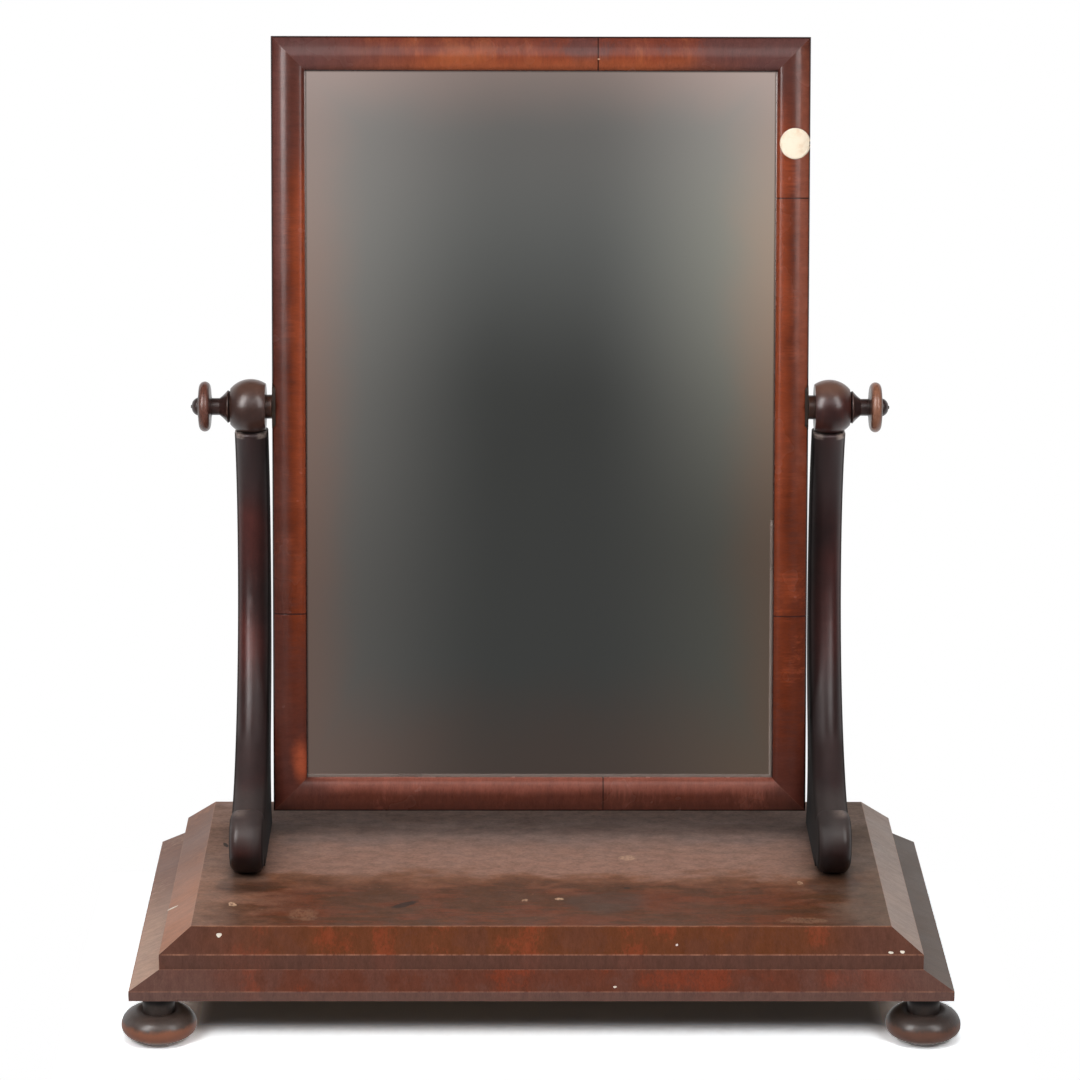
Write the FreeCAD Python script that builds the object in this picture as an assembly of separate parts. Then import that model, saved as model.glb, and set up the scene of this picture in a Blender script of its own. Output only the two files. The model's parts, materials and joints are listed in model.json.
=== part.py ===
"""A dressing-table mirror: a framed plate that swings between two S-scroll uprights on a stepped platform.

Millimetres.  X runs across, Y runs from front to back, Z is up.  The origin is on the surface that the
mirror stands on, in the middle of the space that it takes up as it leans back at rest.
"""
import FreeCAD, Part
import math
import os

V = FreeCAD.Vector

# ---- Platform: a narrower tier on a wider one, bevelled at the front and sides and flush at the back
platform_depth = 341.5
top_margin = 24.3                 # from an upright's outer side to the edge of the platform's flat top
lower_edge_height = 8.1
lower_bevel_rise = 9.8
lower_bevel_run = 23.1
upper_edge_height = 12.6
upper_bevel_rise = 15.1
upper_bevel_run = 24.4
lower_moulding_tuck = 10.0        # how far the lower moulding reaches in under the upper tier
top_board_thickness = 12.0
board_screw_inset = 60.0

# ---- Bun feet
foot_height = 42.5
foot_inset_side = 22.0
foot_inset_front = 24.6
foot_pad_radius = 15.0
bun_radius = 30.4
bun_equator_height = 13.0
bun_lower_curve = 8.0              # the round under the bun's widest line; a straight taper runs on to the pad
bun_upper_curve = 12.5
neck_radius = 13.0
spigot_radius = 8.0
spigot_length = 11.0

# ---- Uprights, in side view: a C-shaped sweep from the ball down to a rolled toe.
# "Ahead" is towards the front of the pivot, "behind" towards the back.
upright_thickness = 28.0
upright_edge_round = 13.5
upright_back_round = 3.0
head_drop = 20.4                  # from the pivot down to the upright's top, cupped for the ball
head_ahead = 17.0
head_behind = 11.0
head_rim_round = 2.2              # the soft rim round the cup
waist_drop = 95.4                 # from the pivot down to where both lines stand upright
waist_ahead = 2.0
waist_depth = 25.0
bend_height = 180.0               # where the front line starts to sweep forwards, above the platform
bend_ahead = 17.0
sweep_height = 69.0               # where it flattens towards the toe
sweep_ahead = 98.0
calf_height = 174.0               # the back line's two turning points
calf_behind = 14.0
ankle_height = 86.0
ankle_ahead = 16.0
heel_height = 34.0
heel_ahead = 24.0
heel_flare = 6.0
toe_ahead = 145.0                 # from the pivot to the middle of the toe roll
toe_roll_radius = 26.4
toe_roll_edge_round = 8.0
toe_hollow_behind = 12.0          # where the sweep dies into the roll, from the roll's middle
toe_hollow_rise = 24.0
upright_screw_spread = 68.0

# ---- Pivot, and the turned pieces on its axis, from the frame outwards
pivot_inset = 24.75               # from the platform's back to the pivot
swing_clearance = 19.2            # between the platform and the frame as it swings past
running_gap = 0.3
bore_clearance = 0.05
collar_length = 5.2
collar_radius = 10.2
ball_radius = 23.4
ball_curve_radius = 22.5
ball_inner_radius = 19.5
ball_outer_radius = 15.5
dowel_radius = 5.0
dowel_in_upright = 20.0
dowel_in_ball = 9.0
pivot_screw_radius = 4.0
knob_flange_radius = 13.75
knob_flange_length = 9.0
knob_flange_rim = 2.2
knob_neck_radius = 7.2
knob_neck_length = 6.5
knob_disc_radius = 21.2
knob_disc_thickness = 12.0
knob_disc_shoulder = 5.9          # how far in from its rim the disc starts to round over
knob_disc_crown = 1.4
knob_nipple_radius = 7.6
knob_nipple_length = 5.0
screw_in_disc = 9.0
rivet_radius = 1.3
rivet_stand_out = 0.8
screw_end_gap = 0.5

# ---- Swinging frame
lean_deg = 11.25                  # how far the mirror leans back at rest
frame_width = 454.0
frame_above_pivot = 311.7
frame_below_pivot = 345.1
moulding_width = 29.0
frame_thickness = 22.0
crown_centre = 16.9               # from the outer edge in to the highest line of the cushion moulding
crown_width = 15.6                # how far the crown's easy curve runs before the shoulders
crown_drop = 1.35
outer_shoulder = 1.2              # a point on each round shoulder, in from the edge and down from the crown
outer_shoulder_drop = 5.6
outer_edge_drop = 7.5
inner_shoulder = 1.0
inner_shoulder_drop = 4.3
inner_edge_drop = 6.5
lip_depth = 9.5                   # from the front of the moulding back to the plate
rebate_width = 6.0
plate_thickness = 4.0
plate_side_clearance = 0.8
backboard_thickness = 7.0
backboard_lap = 14.0              # how far it covers the frame outside the rebate
backboard_bevel_width = 4.5
backboard_bevel_depth = 3.0
backboard_screw_inset = 9.0
backboard_screw_bite = 11.0
block_length = 40.0
block_width = 9.0
block_height = 6.0

# ---- Metal fittings
nut_plate_length = 40.0
nut_plate_width = 14.0
nut_plate_thickness = 3.0
nut_boss_radius = 6.5
nut_boss_length = 8.0
nut_screw_inset = 6.0
nut_screw_length = 14.0
screw_head_radius = 3.6
screw_shank_radius = 1.7
board_screw_head_radius = 5.0
board_screw_shank_radius = 2.4
board_screw_tip_gap = 1.0
upright_screw_bite = 22.0
slot_width = 0.9
slot_depth = 0.8

# ---- Distances out from the middle of the frame, along the pivot axis
frame_half_width = frame_width / 2
frame_height = frame_above_pivot + frame_below_pivot
collar_start = frame_half_width + running_gap
ball_start = collar_start + collar_length
ball_centre = ball_start + math.sqrt(ball_curve_radius**2
                                     - (ball_curve_radius - ball_radius + ball_inner_radius)**2)
ball_end = ball_centre + math.sqrt(ball_curve_radius**2
                                   - (ball_curve_radius - ball_radius + ball_outer_radius)**2)
knob_start = ball_end + running_gap
knob_neck_start = knob_start + knob_flange_length
knob_disc_start = knob_neck_start + knob_neck_length
knob_disc_end = knob_disc_start + knob_disc_thickness
knob_end = knob_disc_end + knob_nipple_length

# ---- Depth: the bun feet reach furthest forwards, and the leaning backboard's top edge furthest back
lean = math.radians(lean_deg)
foot_overhang = bun_radius - foot_inset_front
board_reach_up = frame_above_pivot - moulding_width + rebate_width + backboard_lap - backboard_bevel_width
board_reach_back = (board_reach_up * math.sin(lean)
                    + (frame_thickness / 2 + backboard_thickness) * math.cos(lean))
overall_depth = foot_overhang + platform_depth - pivot_inset + board_reach_back
platform_front = foot_overhang - overall_depth / 2
platform_back = platform_front + platform_depth

# ---- Edges of the platform in plan
top_half_width = ball_centre + upright_thickness / 2 + top_margin
upper_half_width = top_half_width + upper_bevel_run
lower_half_width = upper_half_width + lower_bevel_run
upper_front = platform_front + lower_bevel_run
top_front = upper_front + upper_bevel_run
foot_x = lower_half_width - foot_inset_side
front_foot_y = platform_front + foot_inset_front
back_foot_y = platform_back - foot_inset_front

# ---- Levels, from the floor up
underside = foot_height
lower_edge_top = underside + lower_edge_height
tier_join = lower_edge_top + lower_bevel_rise
upper_edge_top = tier_join + upper_edge_height
platform_top = upper_edge_top + upper_bevel_rise
top_board_underside = platform_top - top_board_thickness
toe_z = platform_top + toe_roll_radius
pivot_y = platform_back - pivot_inset
pivot_z = platform_top + swing_clearance + frame_below_pivot
pivot = V(0, pivot_y, pivot_z)
upright_top = pivot_z - head_drop
toe_y = pivot_y - toe_ahead
heel_y = pivot_y - heel_ahead


# ---- General helpers

def box(x0, x1, y0, y1, z0, z1):
    """A block between two corners."""
    return Part.makeBox(x1 - x0, y1 - y0, z1 - z0, V(x0, y0, z0))


def tangent_arcs(start, heading, ends):
    """A smooth chain of arcs from start, leaving along heading and passing through each end in turn."""
    edges = []
    heading = V(heading).normalize()
    for end in ends:
        chord = end - start
        along = V(chord).normalize()
        both = heading + along
        middle = start + both * (chord.Length / both.Length**2)
        edges.append(Part.Arc(start, middle, end).toShape())
        heading = along * (2 * heading.dot(along)) - heading
        start = end
    return edges


def polyline(points):
    """Straight edges through a list of points."""
    return [Part.makeLine(a, b) for a, b in zip(points, points[1:])]


def face(edges):
    """The flat face inside a closed loop of edges."""
    return Part.Face(Part.Wire(Part.__sortEdges__(edges)))


def turned(edges, centre):
    """A lathe-turned piece: an outline of (x, radius) about a line through centre along X."""
    solid = face(edges).revolve(V(0, 0, 0), V(1, 0, 0), 360)
    solid.translate(centre)
    return solid


def rod(centre, direction, radius, length):
    """A plain cylinder from centre along direction."""
    return Part.makeCylinder(radius, length, centre, direction)


def pair(right_shape):
    """The right-hand piece and its mirror image on the left."""
    return right_shape, right_shape.mirror(V(0, 0, 0), V(1, 0, 0))


def in_turn(shape, cutters):
    """A shape with each cutter taken out of it."""
    for cutter in cutters:
        shape = shape.cut(cutter)
    return shape


def wood_screw(head_centre, direction, head_radius, shank_radius, length, clearance=0.0):
    """A countersunk screw whose slotted head is flush at head_centre, or its hole when given a clearance."""
    sink = head_radius - shank_radius
    head = Part.makeCone(head_radius + clearance, shank_radius + clearance, sink, head_centre, direction)
    point = shank_radius if clearance == 0 else 0
    shank = rod(head_centre, direction, shank_radius + clearance, length - point)
    screw = head.fuse(shank)
    if point:
        tip_start = head_centre + direction * (length - point)
        screw = screw.fuse(Part.makeCone(shank_radius, 0.3, point, tip_start, direction))
        across = direction.cross(V(1, 1, 1)).normalize()
        other = direction.cross(across)
        corner = head_centre - across * head_radius - other * (slot_width / 2)
        slot = Part.makePolygon([corner, corner + across * (2 * head_radius),
                                 corner + across * (2 * head_radius) + other * slot_width,
                                 corner + other * slot_width, corner])
        screw = screw.cut(Part.Face(slot).extrude(direction * slot_depth))
    return screw


def mitred_length(section, width, length, mitre_start, mitre_end):
    """A straight moulding along +X whose section is drawn in YZ: Y runs inwards from its outer edge."""
    solid = section.extrude(V(length, 0, 0))
    tall = 200.0
    reach = 2 * width
    if mitre_start:
        corner = [V(0, 0, -tall), V(0, reach, -tall), V(reach, reach, -tall), V(0, 0, -tall)]
        solid = solid.cut(Part.Face(Part.makePolygon(corner)).extrude(V(0, 0, 2 * tall)))
    if mitre_end:
        corner = [V(length, 0, -tall), V(length - reach, reach, -tall), V(length, reach, -tall),
                  V(length, 0, -tall)]
        solid = solid.cut(Part.Face(Part.makePolygon(corner)).extrude(V(0, 0, 2 * tall)))
    return solid


def lay(solid, corner, turn_deg):
    """Turns a moulding about Z and puts its start at a corner of the plan."""
    solid.rotate(V(0, 0, 0), V(0, 0, 1), turn_deg)
    solid.translate(corner)
    return solid


# ---- Platform

def tier_mouldings(name, half_width, front, bottom, edge_height, bevel_rise, bevel_run, width):
    """Front, left and right edge mouldings of one tier, mitred at the two front corners."""
    top = edge_height + bevel_rise
    outline = [V(0, 0, 0), V(0, 0, edge_height), V(0, bevel_run, top)]
    if width > bevel_run:
        outline.append(V(0, width, top))
    outline += [V(0, width, 0), V(0, 0, 0)]
    section = Part.Face(Part.makePolygon(outline))
    depth = platform_back - front
    front_piece = mitred_length(section, width, 2 * half_width, True, True)
    right_piece = mitred_length(section, width, depth, True, False)
    left_piece = mitred_length(section, width, depth, False, True)
    return {
        name + "_front_moulding": lay(front_piece, V(-half_width, front, bottom), 0),
        name + "_right_moulding": lay(right_piece, V(half_width, front, bottom), 90),
        name + "_left_moulding": lay(left_piece, V(-half_width, platform_back, bottom), 270),
    }


def platform_boards():
    """The boards inside the mouldings: pine core boards and the veneered board on top."""
    lower_edge = upper_half_width - lower_moulding_tuck
    return {
        "lower_board": box(-lower_edge, lower_edge, upper_front + lower_moulding_tuck, platform_back,
                           underside, tier_join),
        "upper_core": box(-top_half_width, top_half_width, top_front, platform_back,
                          tier_join, top_board_underside),
        "top_board": box(-top_half_width, top_half_width, top_front, platform_back,
                         top_board_underside, platform_top),
    }


def foot_outline():
    """A bun foot's outline of (height, radius): a small pad, a taper, the bun, a neck and a spigot."""
    lower_centre = bun_radius - bun_lower_curve
    upper_centre = bun_radius - bun_upper_curve
    neck_height = bun_equator_height + math.sqrt(bun_upper_curve**2 - (neck_radius - upper_centre)**2)
    to_centre = math.hypot(bun_equator_height, lower_centre - foot_pad_radius)
    taper = (math.atan2(bun_equator_height, lower_centre - foot_pad_radius)
             - math.asin(bun_lower_curve / to_centre))

    def on_lower_curve(angle):
        return V(bun_equator_height - bun_lower_curve * math.cos(angle),
                 lower_centre + bun_lower_curve * math.sin(angle), 0)

    bun_bottom = on_lower_curve(taper)
    lower_middle = on_lower_curve((taper + math.pi / 2) / 2)
    equator = V(bun_equator_height, bun_radius, 0)
    shoulder = V(neck_height, neck_radius, 0)
    half_way = (neck_height + bun_equator_height) / 2
    upper_middle = V(half_way, upper_centre + math.sqrt(bun_upper_curve**2
                                                        - (half_way - bun_equator_height)**2), 0)
    spigot_end = foot_height + spigot_length
    edges = polyline([V(spigot_end, 0, 0), V(0, 0, 0), V(0, foot_pad_radius, 0), bun_bottom])
    edges.append(Part.Arc(bun_bottom, lower_middle, equator).toShape())
    edges.append(Part.Arc(equator, upper_middle, shoulder).toShape())
    edges += polyline([shoulder, V(foot_height, neck_radius, 0), V(foot_height, spigot_radius, 0),
                       V(spigot_end, spigot_radius, 0), V(spigot_end, 0, 0)])
    return edges


def feet():
    """Four bun feet, each with a spigot that plugs into the lower tier."""
    foot = turned(foot_outline(), V(0, 0, 0))
    foot.rotate(V(0, 0, 0), V(0, 1, 0), -90)
    pieces = {}
    for side, x in (("left", -foot_x), ("right", foot_x)):
        for end, y in (("front", front_foot_y), ("back", back_foot_y)):
            piece = foot.copy()
            piece.translate(V(x, y, 0))
            pieces[end + "_" + side + "_foot"] = piece
    return pieces


# ---- Uprights

def side_point(ahead, z):
    """A point of an upright's outline, measured forwards from the pivot."""
    return V(0, pivot_y - ahead, z)


def upright_front_line():
    """The front of an upright from its toe roll up to the ball, in the YZ plane."""
    waist = side_point(waist_ahead, pivot_z - waist_drop)
    above = tangent_arcs(waist, V(0, 0, 1), [side_point(head_ahead, upright_top)])
    below = tangent_arcs(waist, V(0, 0, -1), [
        side_point(bend_ahead, platform_top + bend_height),
        side_point(sweep_ahead, platform_top + sweep_height),
        V(0, toe_y + toe_hollow_behind, toe_z + toe_hollow_rise),
    ])
    return above + below


def upright_back_line():
    """The back of an upright from its heel up to the ball."""
    waist = side_point(waist_ahead - waist_depth, pivot_z - waist_drop)
    above = tangent_arcs(waist, V(0, 0, 1), [side_point(-head_behind, upright_top)])
    below = tangent_arcs(waist, V(0, 0, -1), [
        side_point(-calf_behind, platform_top + calf_height),
        side_point(ankle_ahead, platform_top + ankle_height),
        V(0, heel_y - heel_flare, platform_top + heel_height),
        V(0, heel_y, platform_top),
    ])
    return above + below


def edges_near(solid, lines):
    """The solid's edges that run along any of the given lines, on either side face."""
    chosen = []
    for line in lines:
        middle = line.valueAt((line.FirstParameter + line.LastParameter) / 2)
        for edge in solid.Edges:
            centre = edge.valueAt((edge.FirstParameter + edge.LastParameter) / 2)
            if math.hypot(centre.y - middle.y, centre.z - middle.z) < 0.01 and abs(edge.tangentAt(
                    edge.FirstParameter).x) < 0.01:
                chosen.append(edge)
    return chosen


def toe_roll():
    """The rolled toe: a short cylinder along X with rounded ends."""
    inner = -upright_thickness / 2
    outer = upright_thickness / 2
    flat = toe_roll_radius - toe_roll_edge_round
    slant = toe_roll_edge_round * (1 - math.sqrt(0.5))
    edges = polyline([V(outer, flat, 0), V(outer, 0, 0), V(inner, 0, 0), V(inner, flat, 0)])
    edges.append(Part.Arc(V(inner, flat, 0), V(inner + slant, toe_roll_radius - slant, 0),
                          V(inner + toe_roll_edge_round, toe_roll_radius, 0)).toShape())
    edges += polyline([V(inner + toe_roll_edge_round, toe_roll_radius, 0),
                       V(outer - toe_roll_edge_round, toe_roll_radius, 0)])
    edges.append(Part.Arc(V(outer - toe_roll_edge_round, toe_roll_radius, 0),
                          V(outer - slant, toe_roll_radius - slant, 0), V(outer, flat, 0)).toShape())
    return turned(edges, V(ball_centre, toe_y, toe_z))


def right_upright(ball, dowel_hole):
    """Sawn from a plank to the S-scroll, rounded over at the front, with a rolled toe and a cupped top."""
    front = upright_front_line()
    back = upright_back_line()
    hollow = V(0, toe_y + toe_hollow_behind, toe_z + toe_hollow_rise)
    foot = polyline([hollow, V(0, hollow.y, platform_top), V(0, heel_y, platform_top)])
    head = polyline([side_point(head_ahead, upright_top), side_point(-head_behind, upright_top)])
    outline = face(front + back + foot + head)
    outline.translate(V(ball_centre - upright_thickness / 2, 0, 0))
    plank = outline.extrude(V(upright_thickness, 0, 0))
    plank = plank.makeFillet(upright_edge_round, edges_near(plank, front))
    plank = plank.makeFillet(upright_back_round, edges_near(plank, back[:-1]))
    rim = [edge for edge in plank.Edges if all(abs(v.Z - upright_top) < 0.01 for v in edge.Vertexes)]
    plank = plank.makeFillet(head_rim_round, rim)
    return plank.fuse(toe_roll()).removeSplitter().cut(ball).cut(dowel_hole)


# ---- Turned pieces on the pivot axis

def right_ball_blank():
    """The ball on top of an upright, before it is bored: a fat disc with a full round rim."""
    crown = ball_radius - ball_curve_radius
    edges = polyline([V(ball_end, ball_outer_radius, 0), V(ball_end, 0, 0), V(ball_start, 0, 0),
                      V(ball_start, ball_inner_radius, 0)])
    edges.append(Part.Arc(V(ball_start, ball_inner_radius, 0), V(ball_centre, crown + ball_curve_radius, 0),
                          V(ball_end, ball_outer_radius, 0)).toShape())
    return turned(edges, pivot)


def right_knob():
    """A turned knob: a flared flange, a neck, a round-edged disc and a small nipple."""
    bore = pivot_screw_radius + bore_clearance
    rivet_bore = rivet_radius + bore_clearance
    bore_end = knob_disc_start + screw_in_disc
    flange_face = V(knob_start, knob_flange_radius - knob_flange_rim, 0)
    flange_edge = V(knob_start + knob_flange_rim, knob_flange_radius, 0)
    slant = knob_flange_rim * math.sqrt(0.5)
    flange_round = V(flange_edge.x - slant, flange_face.y + slant, 0)
    neck_in = V(knob_neck_start, knob_neck_radius, 0)
    flare = V(flange_edge.x + 0.45 * (neck_in.x - flange_edge.x),
              flange_edge.y + 0.52 * (neck_in.y - flange_edge.y), 0)
    neck_out = V(knob_disc_start, knob_neck_radius, 0)
    shoulder_radius = knob_disc_radius - knob_disc_shoulder
    disc_back = V(knob_disc_start + knob_disc_crown, shoulder_radius, 0)
    disc_rim = V(knob_disc_start + knob_disc_thickness / 2, knob_disc_radius, 0)
    disc_front = V(knob_disc_end - knob_disc_crown, shoulder_radius, 0)
    nipple_base = V(knob_disc_end, knob_nipple_radius, 0)
    nipple_side = V(knob_disc_end + 0.55 * knob_nipple_length, 0.8 * knob_nipple_radius, 0)
    nipple_top = V(knob_end, 0.25 * knob_nipple_radius, 0)
    edges = polyline([nipple_top, V(knob_end, rivet_bore, 0), V(bore_end, rivet_bore, 0),
                      V(bore_end, bore, 0), V(knob_start, bore, 0), flange_face])
    edges.append(Part.Arc(flange_face, flange_round, flange_edge).toShape())
    edges.append(Part.Arc(flange_edge, flare, neck_in).toShape())
    edges += polyline([neck_in, neck_out, disc_back])
    edges.append(Part.Arc(disc_back, disc_rim, disc_front).toShape())
    edges += polyline([disc_front, nipple_base])
    edges.append(Part.Arc(nipple_base, nipple_side, nipple_top).toShape())
    return turned(edges, pivot)


def right_pivot_screw():
    """The iron screw: it threads into the nut plate and passes through collar, ball and knob."""
    inner_end = frame_half_width - nut_plate_thickness - nut_boss_length + screw_end_gap
    shoulder = knob_disc_start + screw_in_disc - bore_clearance
    tip = knob_end + rivet_stand_out
    lead = pivot_screw_radius / 4
    points = [V(inner_end, 0, 0), V(inner_end, pivot_screw_radius - lead, 0),
              V(inner_end + lead, pivot_screw_radius, 0), V(shoulder, pivot_screw_radius, 0),
              V(shoulder, rivet_radius, 0), V(tip, rivet_radius, 0), V(tip, 0, 0), V(inner_end, 0, 0)]
    return turned(polyline(points), pivot)


def pivot_pieces():
    """Uprights and the turned and metal pieces on the pivot axis, left and right."""
    axis = V(1, 0, 0)
    bore_radius = pivot_screw_radius + bore_clearance
    ball_blank = right_ball_blank()
    bore = rod(pivot, axis, bore_radius, ball_end + 1.0)
    dowel_foot = V(ball_centre, pivot_y, upright_top - dowel_in_upright)
    dowel_top = pivot_z - ball_radius + dowel_in_ball
    dowel = rod(dowel_foot, V(0, 0, 1), dowel_radius, dowel_top - dowel_foot.z)
    collar = rod(pivot + axis * collar_start, axis, collar_radius, collar_length)
    shapes = {
        "upright": right_upright(ball_blank, dowel),
        "ball": ball_blank.cut(bore).cut(dowel),
        "collar": collar.cut(bore),
        "pivot_screw": right_pivot_screw(),
        "knob": right_knob(),
    }
    pieces = {}
    for name, shape in shapes.items():
        pieces["right_" + name], pieces["left_" + name] = pair(shape)
    pieces["ball_dowels"] = Part.makeCompound(pair(dowel))
    return pieces


# ---- Swinging frame, built lying on its back: X across, Y up the frame, Z towards its front

def frame_section():
    """The cushion moulding: round shoulders, an easy crown, and a rebate behind its inner lip."""
    front = frame_thickness / 2
    back = -front
    middle = V(0, crown_centre, front)
    crown_side = front - crown_drop
    outer_foot = V(0, 0, front - outer_edge_drop)
    inner_foot = V(0, moulding_width, front - inner_edge_drop)
    outer = tangent_arcs(middle, V(0, -1, 0), [
        V(0, middle.y - crown_width / 2, crown_side),
        V(0, outer_shoulder, front - outer_shoulder_drop),
        outer_foot,
    ])
    inner = tangent_arcs(middle, V(0, 1, 0), [
        V(0, middle.y + crown_width / 2, crown_side),
        V(0, moulding_width - inner_shoulder, front - inner_shoulder_drop),
        inner_foot,
    ])
    rebate_edge = moulding_width - rebate_width
    plate_front = front - lip_depth
    hidden = polyline([inner_foot, V(0, moulding_width, plate_front), V(0, rebate_edge, plate_front),
                       V(0, rebate_edge, back), V(0, 0, back), outer_foot])
    return face(outer + inner + hidden)


def frame_sides():
    """Four lengths of the moulding mitred together."""
    section = frame_section()
    corners = [
        ("frame_bottom_rail", V(-frame_half_width, -frame_below_pivot, 0), frame_width, 0),
        ("frame_right_stile", V(frame_half_width, -frame_below_pivot, 0), frame_height, 90),
        ("frame_top_rail", V(frame_half_width, frame_above_pivot, 0), frame_width, 180),
        ("frame_left_stile", V(-frame_half_width, frame_above_pivot, 0), frame_height, 270),
    ]
    return {name: lay(mitred_length(section, moulding_width, length, True, True), corner, turn)
            for name, corner, length, turn in corners}


def centred_board(half_width, bottom, top, z0, z1):
    """A board of the frame, symmetrical about its centre line."""
    return box(-half_width, half_width, bottom, top, z0, z1)


def rebate_edges():
    """Half width, bottom and top of the space inside the rebate."""
    inset = moulding_width - rebate_width
    return frame_half_width - inset, -frame_below_pivot + inset, frame_above_pivot - inset


def mirror_plate():
    """The silvered glass, with the rebate's clearance all round."""
    half_width, bottom, top = rebate_edges()
    front = frame_thickness / 2 - lip_depth
    return centred_board(half_width - plate_side_clearance, bottom + plate_side_clearance,
                         top - plate_side_clearance, front - plate_thickness, front)


def glazing_blocks():
    """Small softwood blocks glued into the rebate behind the plate, three or two to a side."""
    half_width, bottom, top = rebate_edges()
    plate_back = frame_thickness / 2 - lip_depth - plate_thickness
    outline = [V(0, 0, plate_back), V(0, block_width, plate_back),
               V(0, 0, plate_back - block_height), V(0, 0, plate_back)]
    blocks = []
    runs = [
        (V(-half_width, bottom, 0), 0, 2 * half_width, 2),
        (V(half_width, bottom, 0), 90, top - bottom, 3),
        (V(half_width, top, 0), 180, 2 * half_width, 2),
        (V(-half_width, top, 0), 270, top - bottom, 3),
    ]
    for corner, turn, length, count in runs:
        for number in range(count):
            block = Part.Face(Part.makePolygon(outline)).extrude(V(block_length, 0, 0))
            block.translate(V(length * (number + 1) / (count + 1) - block_length / 2, 0, 0))
            blocks.append(lay(block, corner, turn))
    return Part.makeCompound(blocks)


def backboard():
    """A thin pine board over the back of the frame, its rear edges planed to a bevel."""
    half_width, bottom, top = rebate_edges()
    front = -frame_thickness / 2
    shoulder = front - backboard_thickness + backboard_bevel_depth
    board = centred_board(half_width + backboard_lap, bottom - backboard_lap, top + backboard_lap,
                          shoulder, front)
    outlines = []
    for z, inset in ((shoulder, 0.0), (front - backboard_thickness, backboard_bevel_width)):
        x = half_width + backboard_lap - inset
        y0 = bottom - backboard_lap + inset
        y1 = top + backboard_lap - inset
        outlines.append(Part.makePolygon([V(-x, y0, z), V(x, y0, z), V(x, y1, z), V(-x, y1, z),
                                          V(-x, y0, z)]))
    return board.fuse(Part.makeLoft(outlines, True, True)).removeSplitter()


def backboard_screw_places():
    """Four screws down each long edge of the backboard and one in the middle of each short edge."""
    half_width, bottom, top = rebate_edges()
    beyond = backboard_lap - backboard_screw_inset
    side = half_width + beyond
    places = []
    for number in range(4):
        y = bottom + (top - bottom) * (number + 0.5) / 4
        places += [(-side, y), (side, y)]
    places += [(0.0, bottom - beyond), (0.0, top + beyond)]
    return places


def right_nut_plate():
    """A brass plate let into the edge of the stile, with a threaded boss behind it."""
    outer = frame_half_width
    half_straight = (nut_plate_length - nut_plate_width) / 2
    inward = V(-1, 0, 0)
    plate = box(outer - nut_plate_thickness, outer, -half_straight, half_straight,
                -nut_plate_width / 2, nut_plate_width / 2)
    for y in (-half_straight, half_straight):
        plate = plate.fuse(rod(V(outer, y, 0), inward, nut_plate_width / 2, nut_plate_thickness))
    boss = rod(V(outer, 0, 0), inward, nut_boss_radius, nut_plate_thickness + nut_boss_length)
    return plate.fuse(boss).removeSplitter()


def hang(shape):
    """Stands a piece of the frame up, leans it back and carries it to the pivot."""
    shape.rotate(V(0, 0, 0), V(1, 0, 0), 90 - lean_deg)
    shape.translate(pivot)
    return shape


def swinging_pieces():
    """Everything that tilts with the frame."""
    pieces = frame_sides()
    board = backboard()
    back = -frame_thickness / 2 - backboard_thickness
    length = backboard_thickness + backboard_screw_bite
    screws = []
    for x, y in backboard_screw_places():
        place = V(x, y, back)
        screws.append(wood_screw(place, V(0, 0, 1), screw_head_radius, screw_shank_radius, length))
        hole = wood_screw(place, V(0, 0, 1), screw_head_radius, screw_shank_radius, length, bore_clearance)
        board = board.cut(hole)
        for name in list(pieces):
            pieces[name] = pieces[name].cut(hole)
    plate = right_nut_plate()
    bore = rod(V(frame_half_width + 1.0, 0, 0), V(-1, 0, 0), pivot_screw_radius + bore_clearance,
               nut_plate_thickness + nut_boss_length + 2.0)
    nut_screws = []
    screw_y = nut_plate_length / 2 - nut_screw_inset
    holes = []
    for y in (-screw_y, screw_y):
        place = V(frame_half_width, y, 0)
        nut_screws.append(wood_screw(place, V(-1, 0, 0), screw_head_radius, screw_shank_radius,
                                     nut_screw_length))
        holes.append(wood_screw(place, V(-1, 0, 0), screw_head_radius, screw_shank_radius,
                                nut_screw_length, bore_clearance))
    pieces["frame_right_stile"] = in_turn(pieces["frame_right_stile"], [plate] + holes)
    left_cutters = [pair(cutter)[1] for cutter in [plate] + holes]
    pieces["frame_left_stile"] = in_turn(pieces["frame_left_stile"], left_cutters)
    pieces["right_nut_plate"], pieces["left_nut_plate"] = pair(in_turn(plate, [bore] + holes))
    pieces["nut_plate_screws"] = Part.makeCompound(
        nut_screws + [pair(screw)[1] for screw in nut_screws])
    pieces["mirror_plate"] = mirror_plate()
    pieces["glazing_blocks"] = glazing_blocks()
    pieces["backboard"] = board
    pieces["backboard_screws"] = Part.makeCompound(screws)
    return {name: hang(shape) for name, shape in pieces.items()}


# ---- Stand

def board_screw_places():
    """Six screws that hold the two tiers together."""
    x = top_half_width - board_screw_inset
    front = top_front + board_screw_inset
    back = platform_back - board_screw_inset
    return [(side * x, y) for side in (-1, 0, 1) for y in (front, back)]


def stand_pieces():
    """The platform, its feet, and the screws that hold the tiers and uprights together."""
    pieces = tier_mouldings("lower", lower_half_width, platform_front, underside, lower_edge_height,
                            lower_bevel_rise, lower_bevel_run, lower_bevel_run + lower_moulding_tuck)
    pieces.update(tier_mouldings("upper", upper_half_width, upper_front, tier_join, upper_edge_height,
                                 upper_bevel_rise, upper_bevel_run, upper_bevel_run))
    pieces.update(platform_boards())
    for name in ("lower_front_moulding", "lower_left_moulding", "lower_right_moulding"):
        for x in (-foot_x, foot_x):
            for y in (front_foot_y, back_foot_y):
                socket = rod(V(x, y, underside), V(0, 0, 1), spigot_radius + bore_clearance,
                             spigot_length + 0.3)
                pieces[name] = pieces[name].cut(socket)
    pieces.update(feet())
    return pieces


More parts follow.
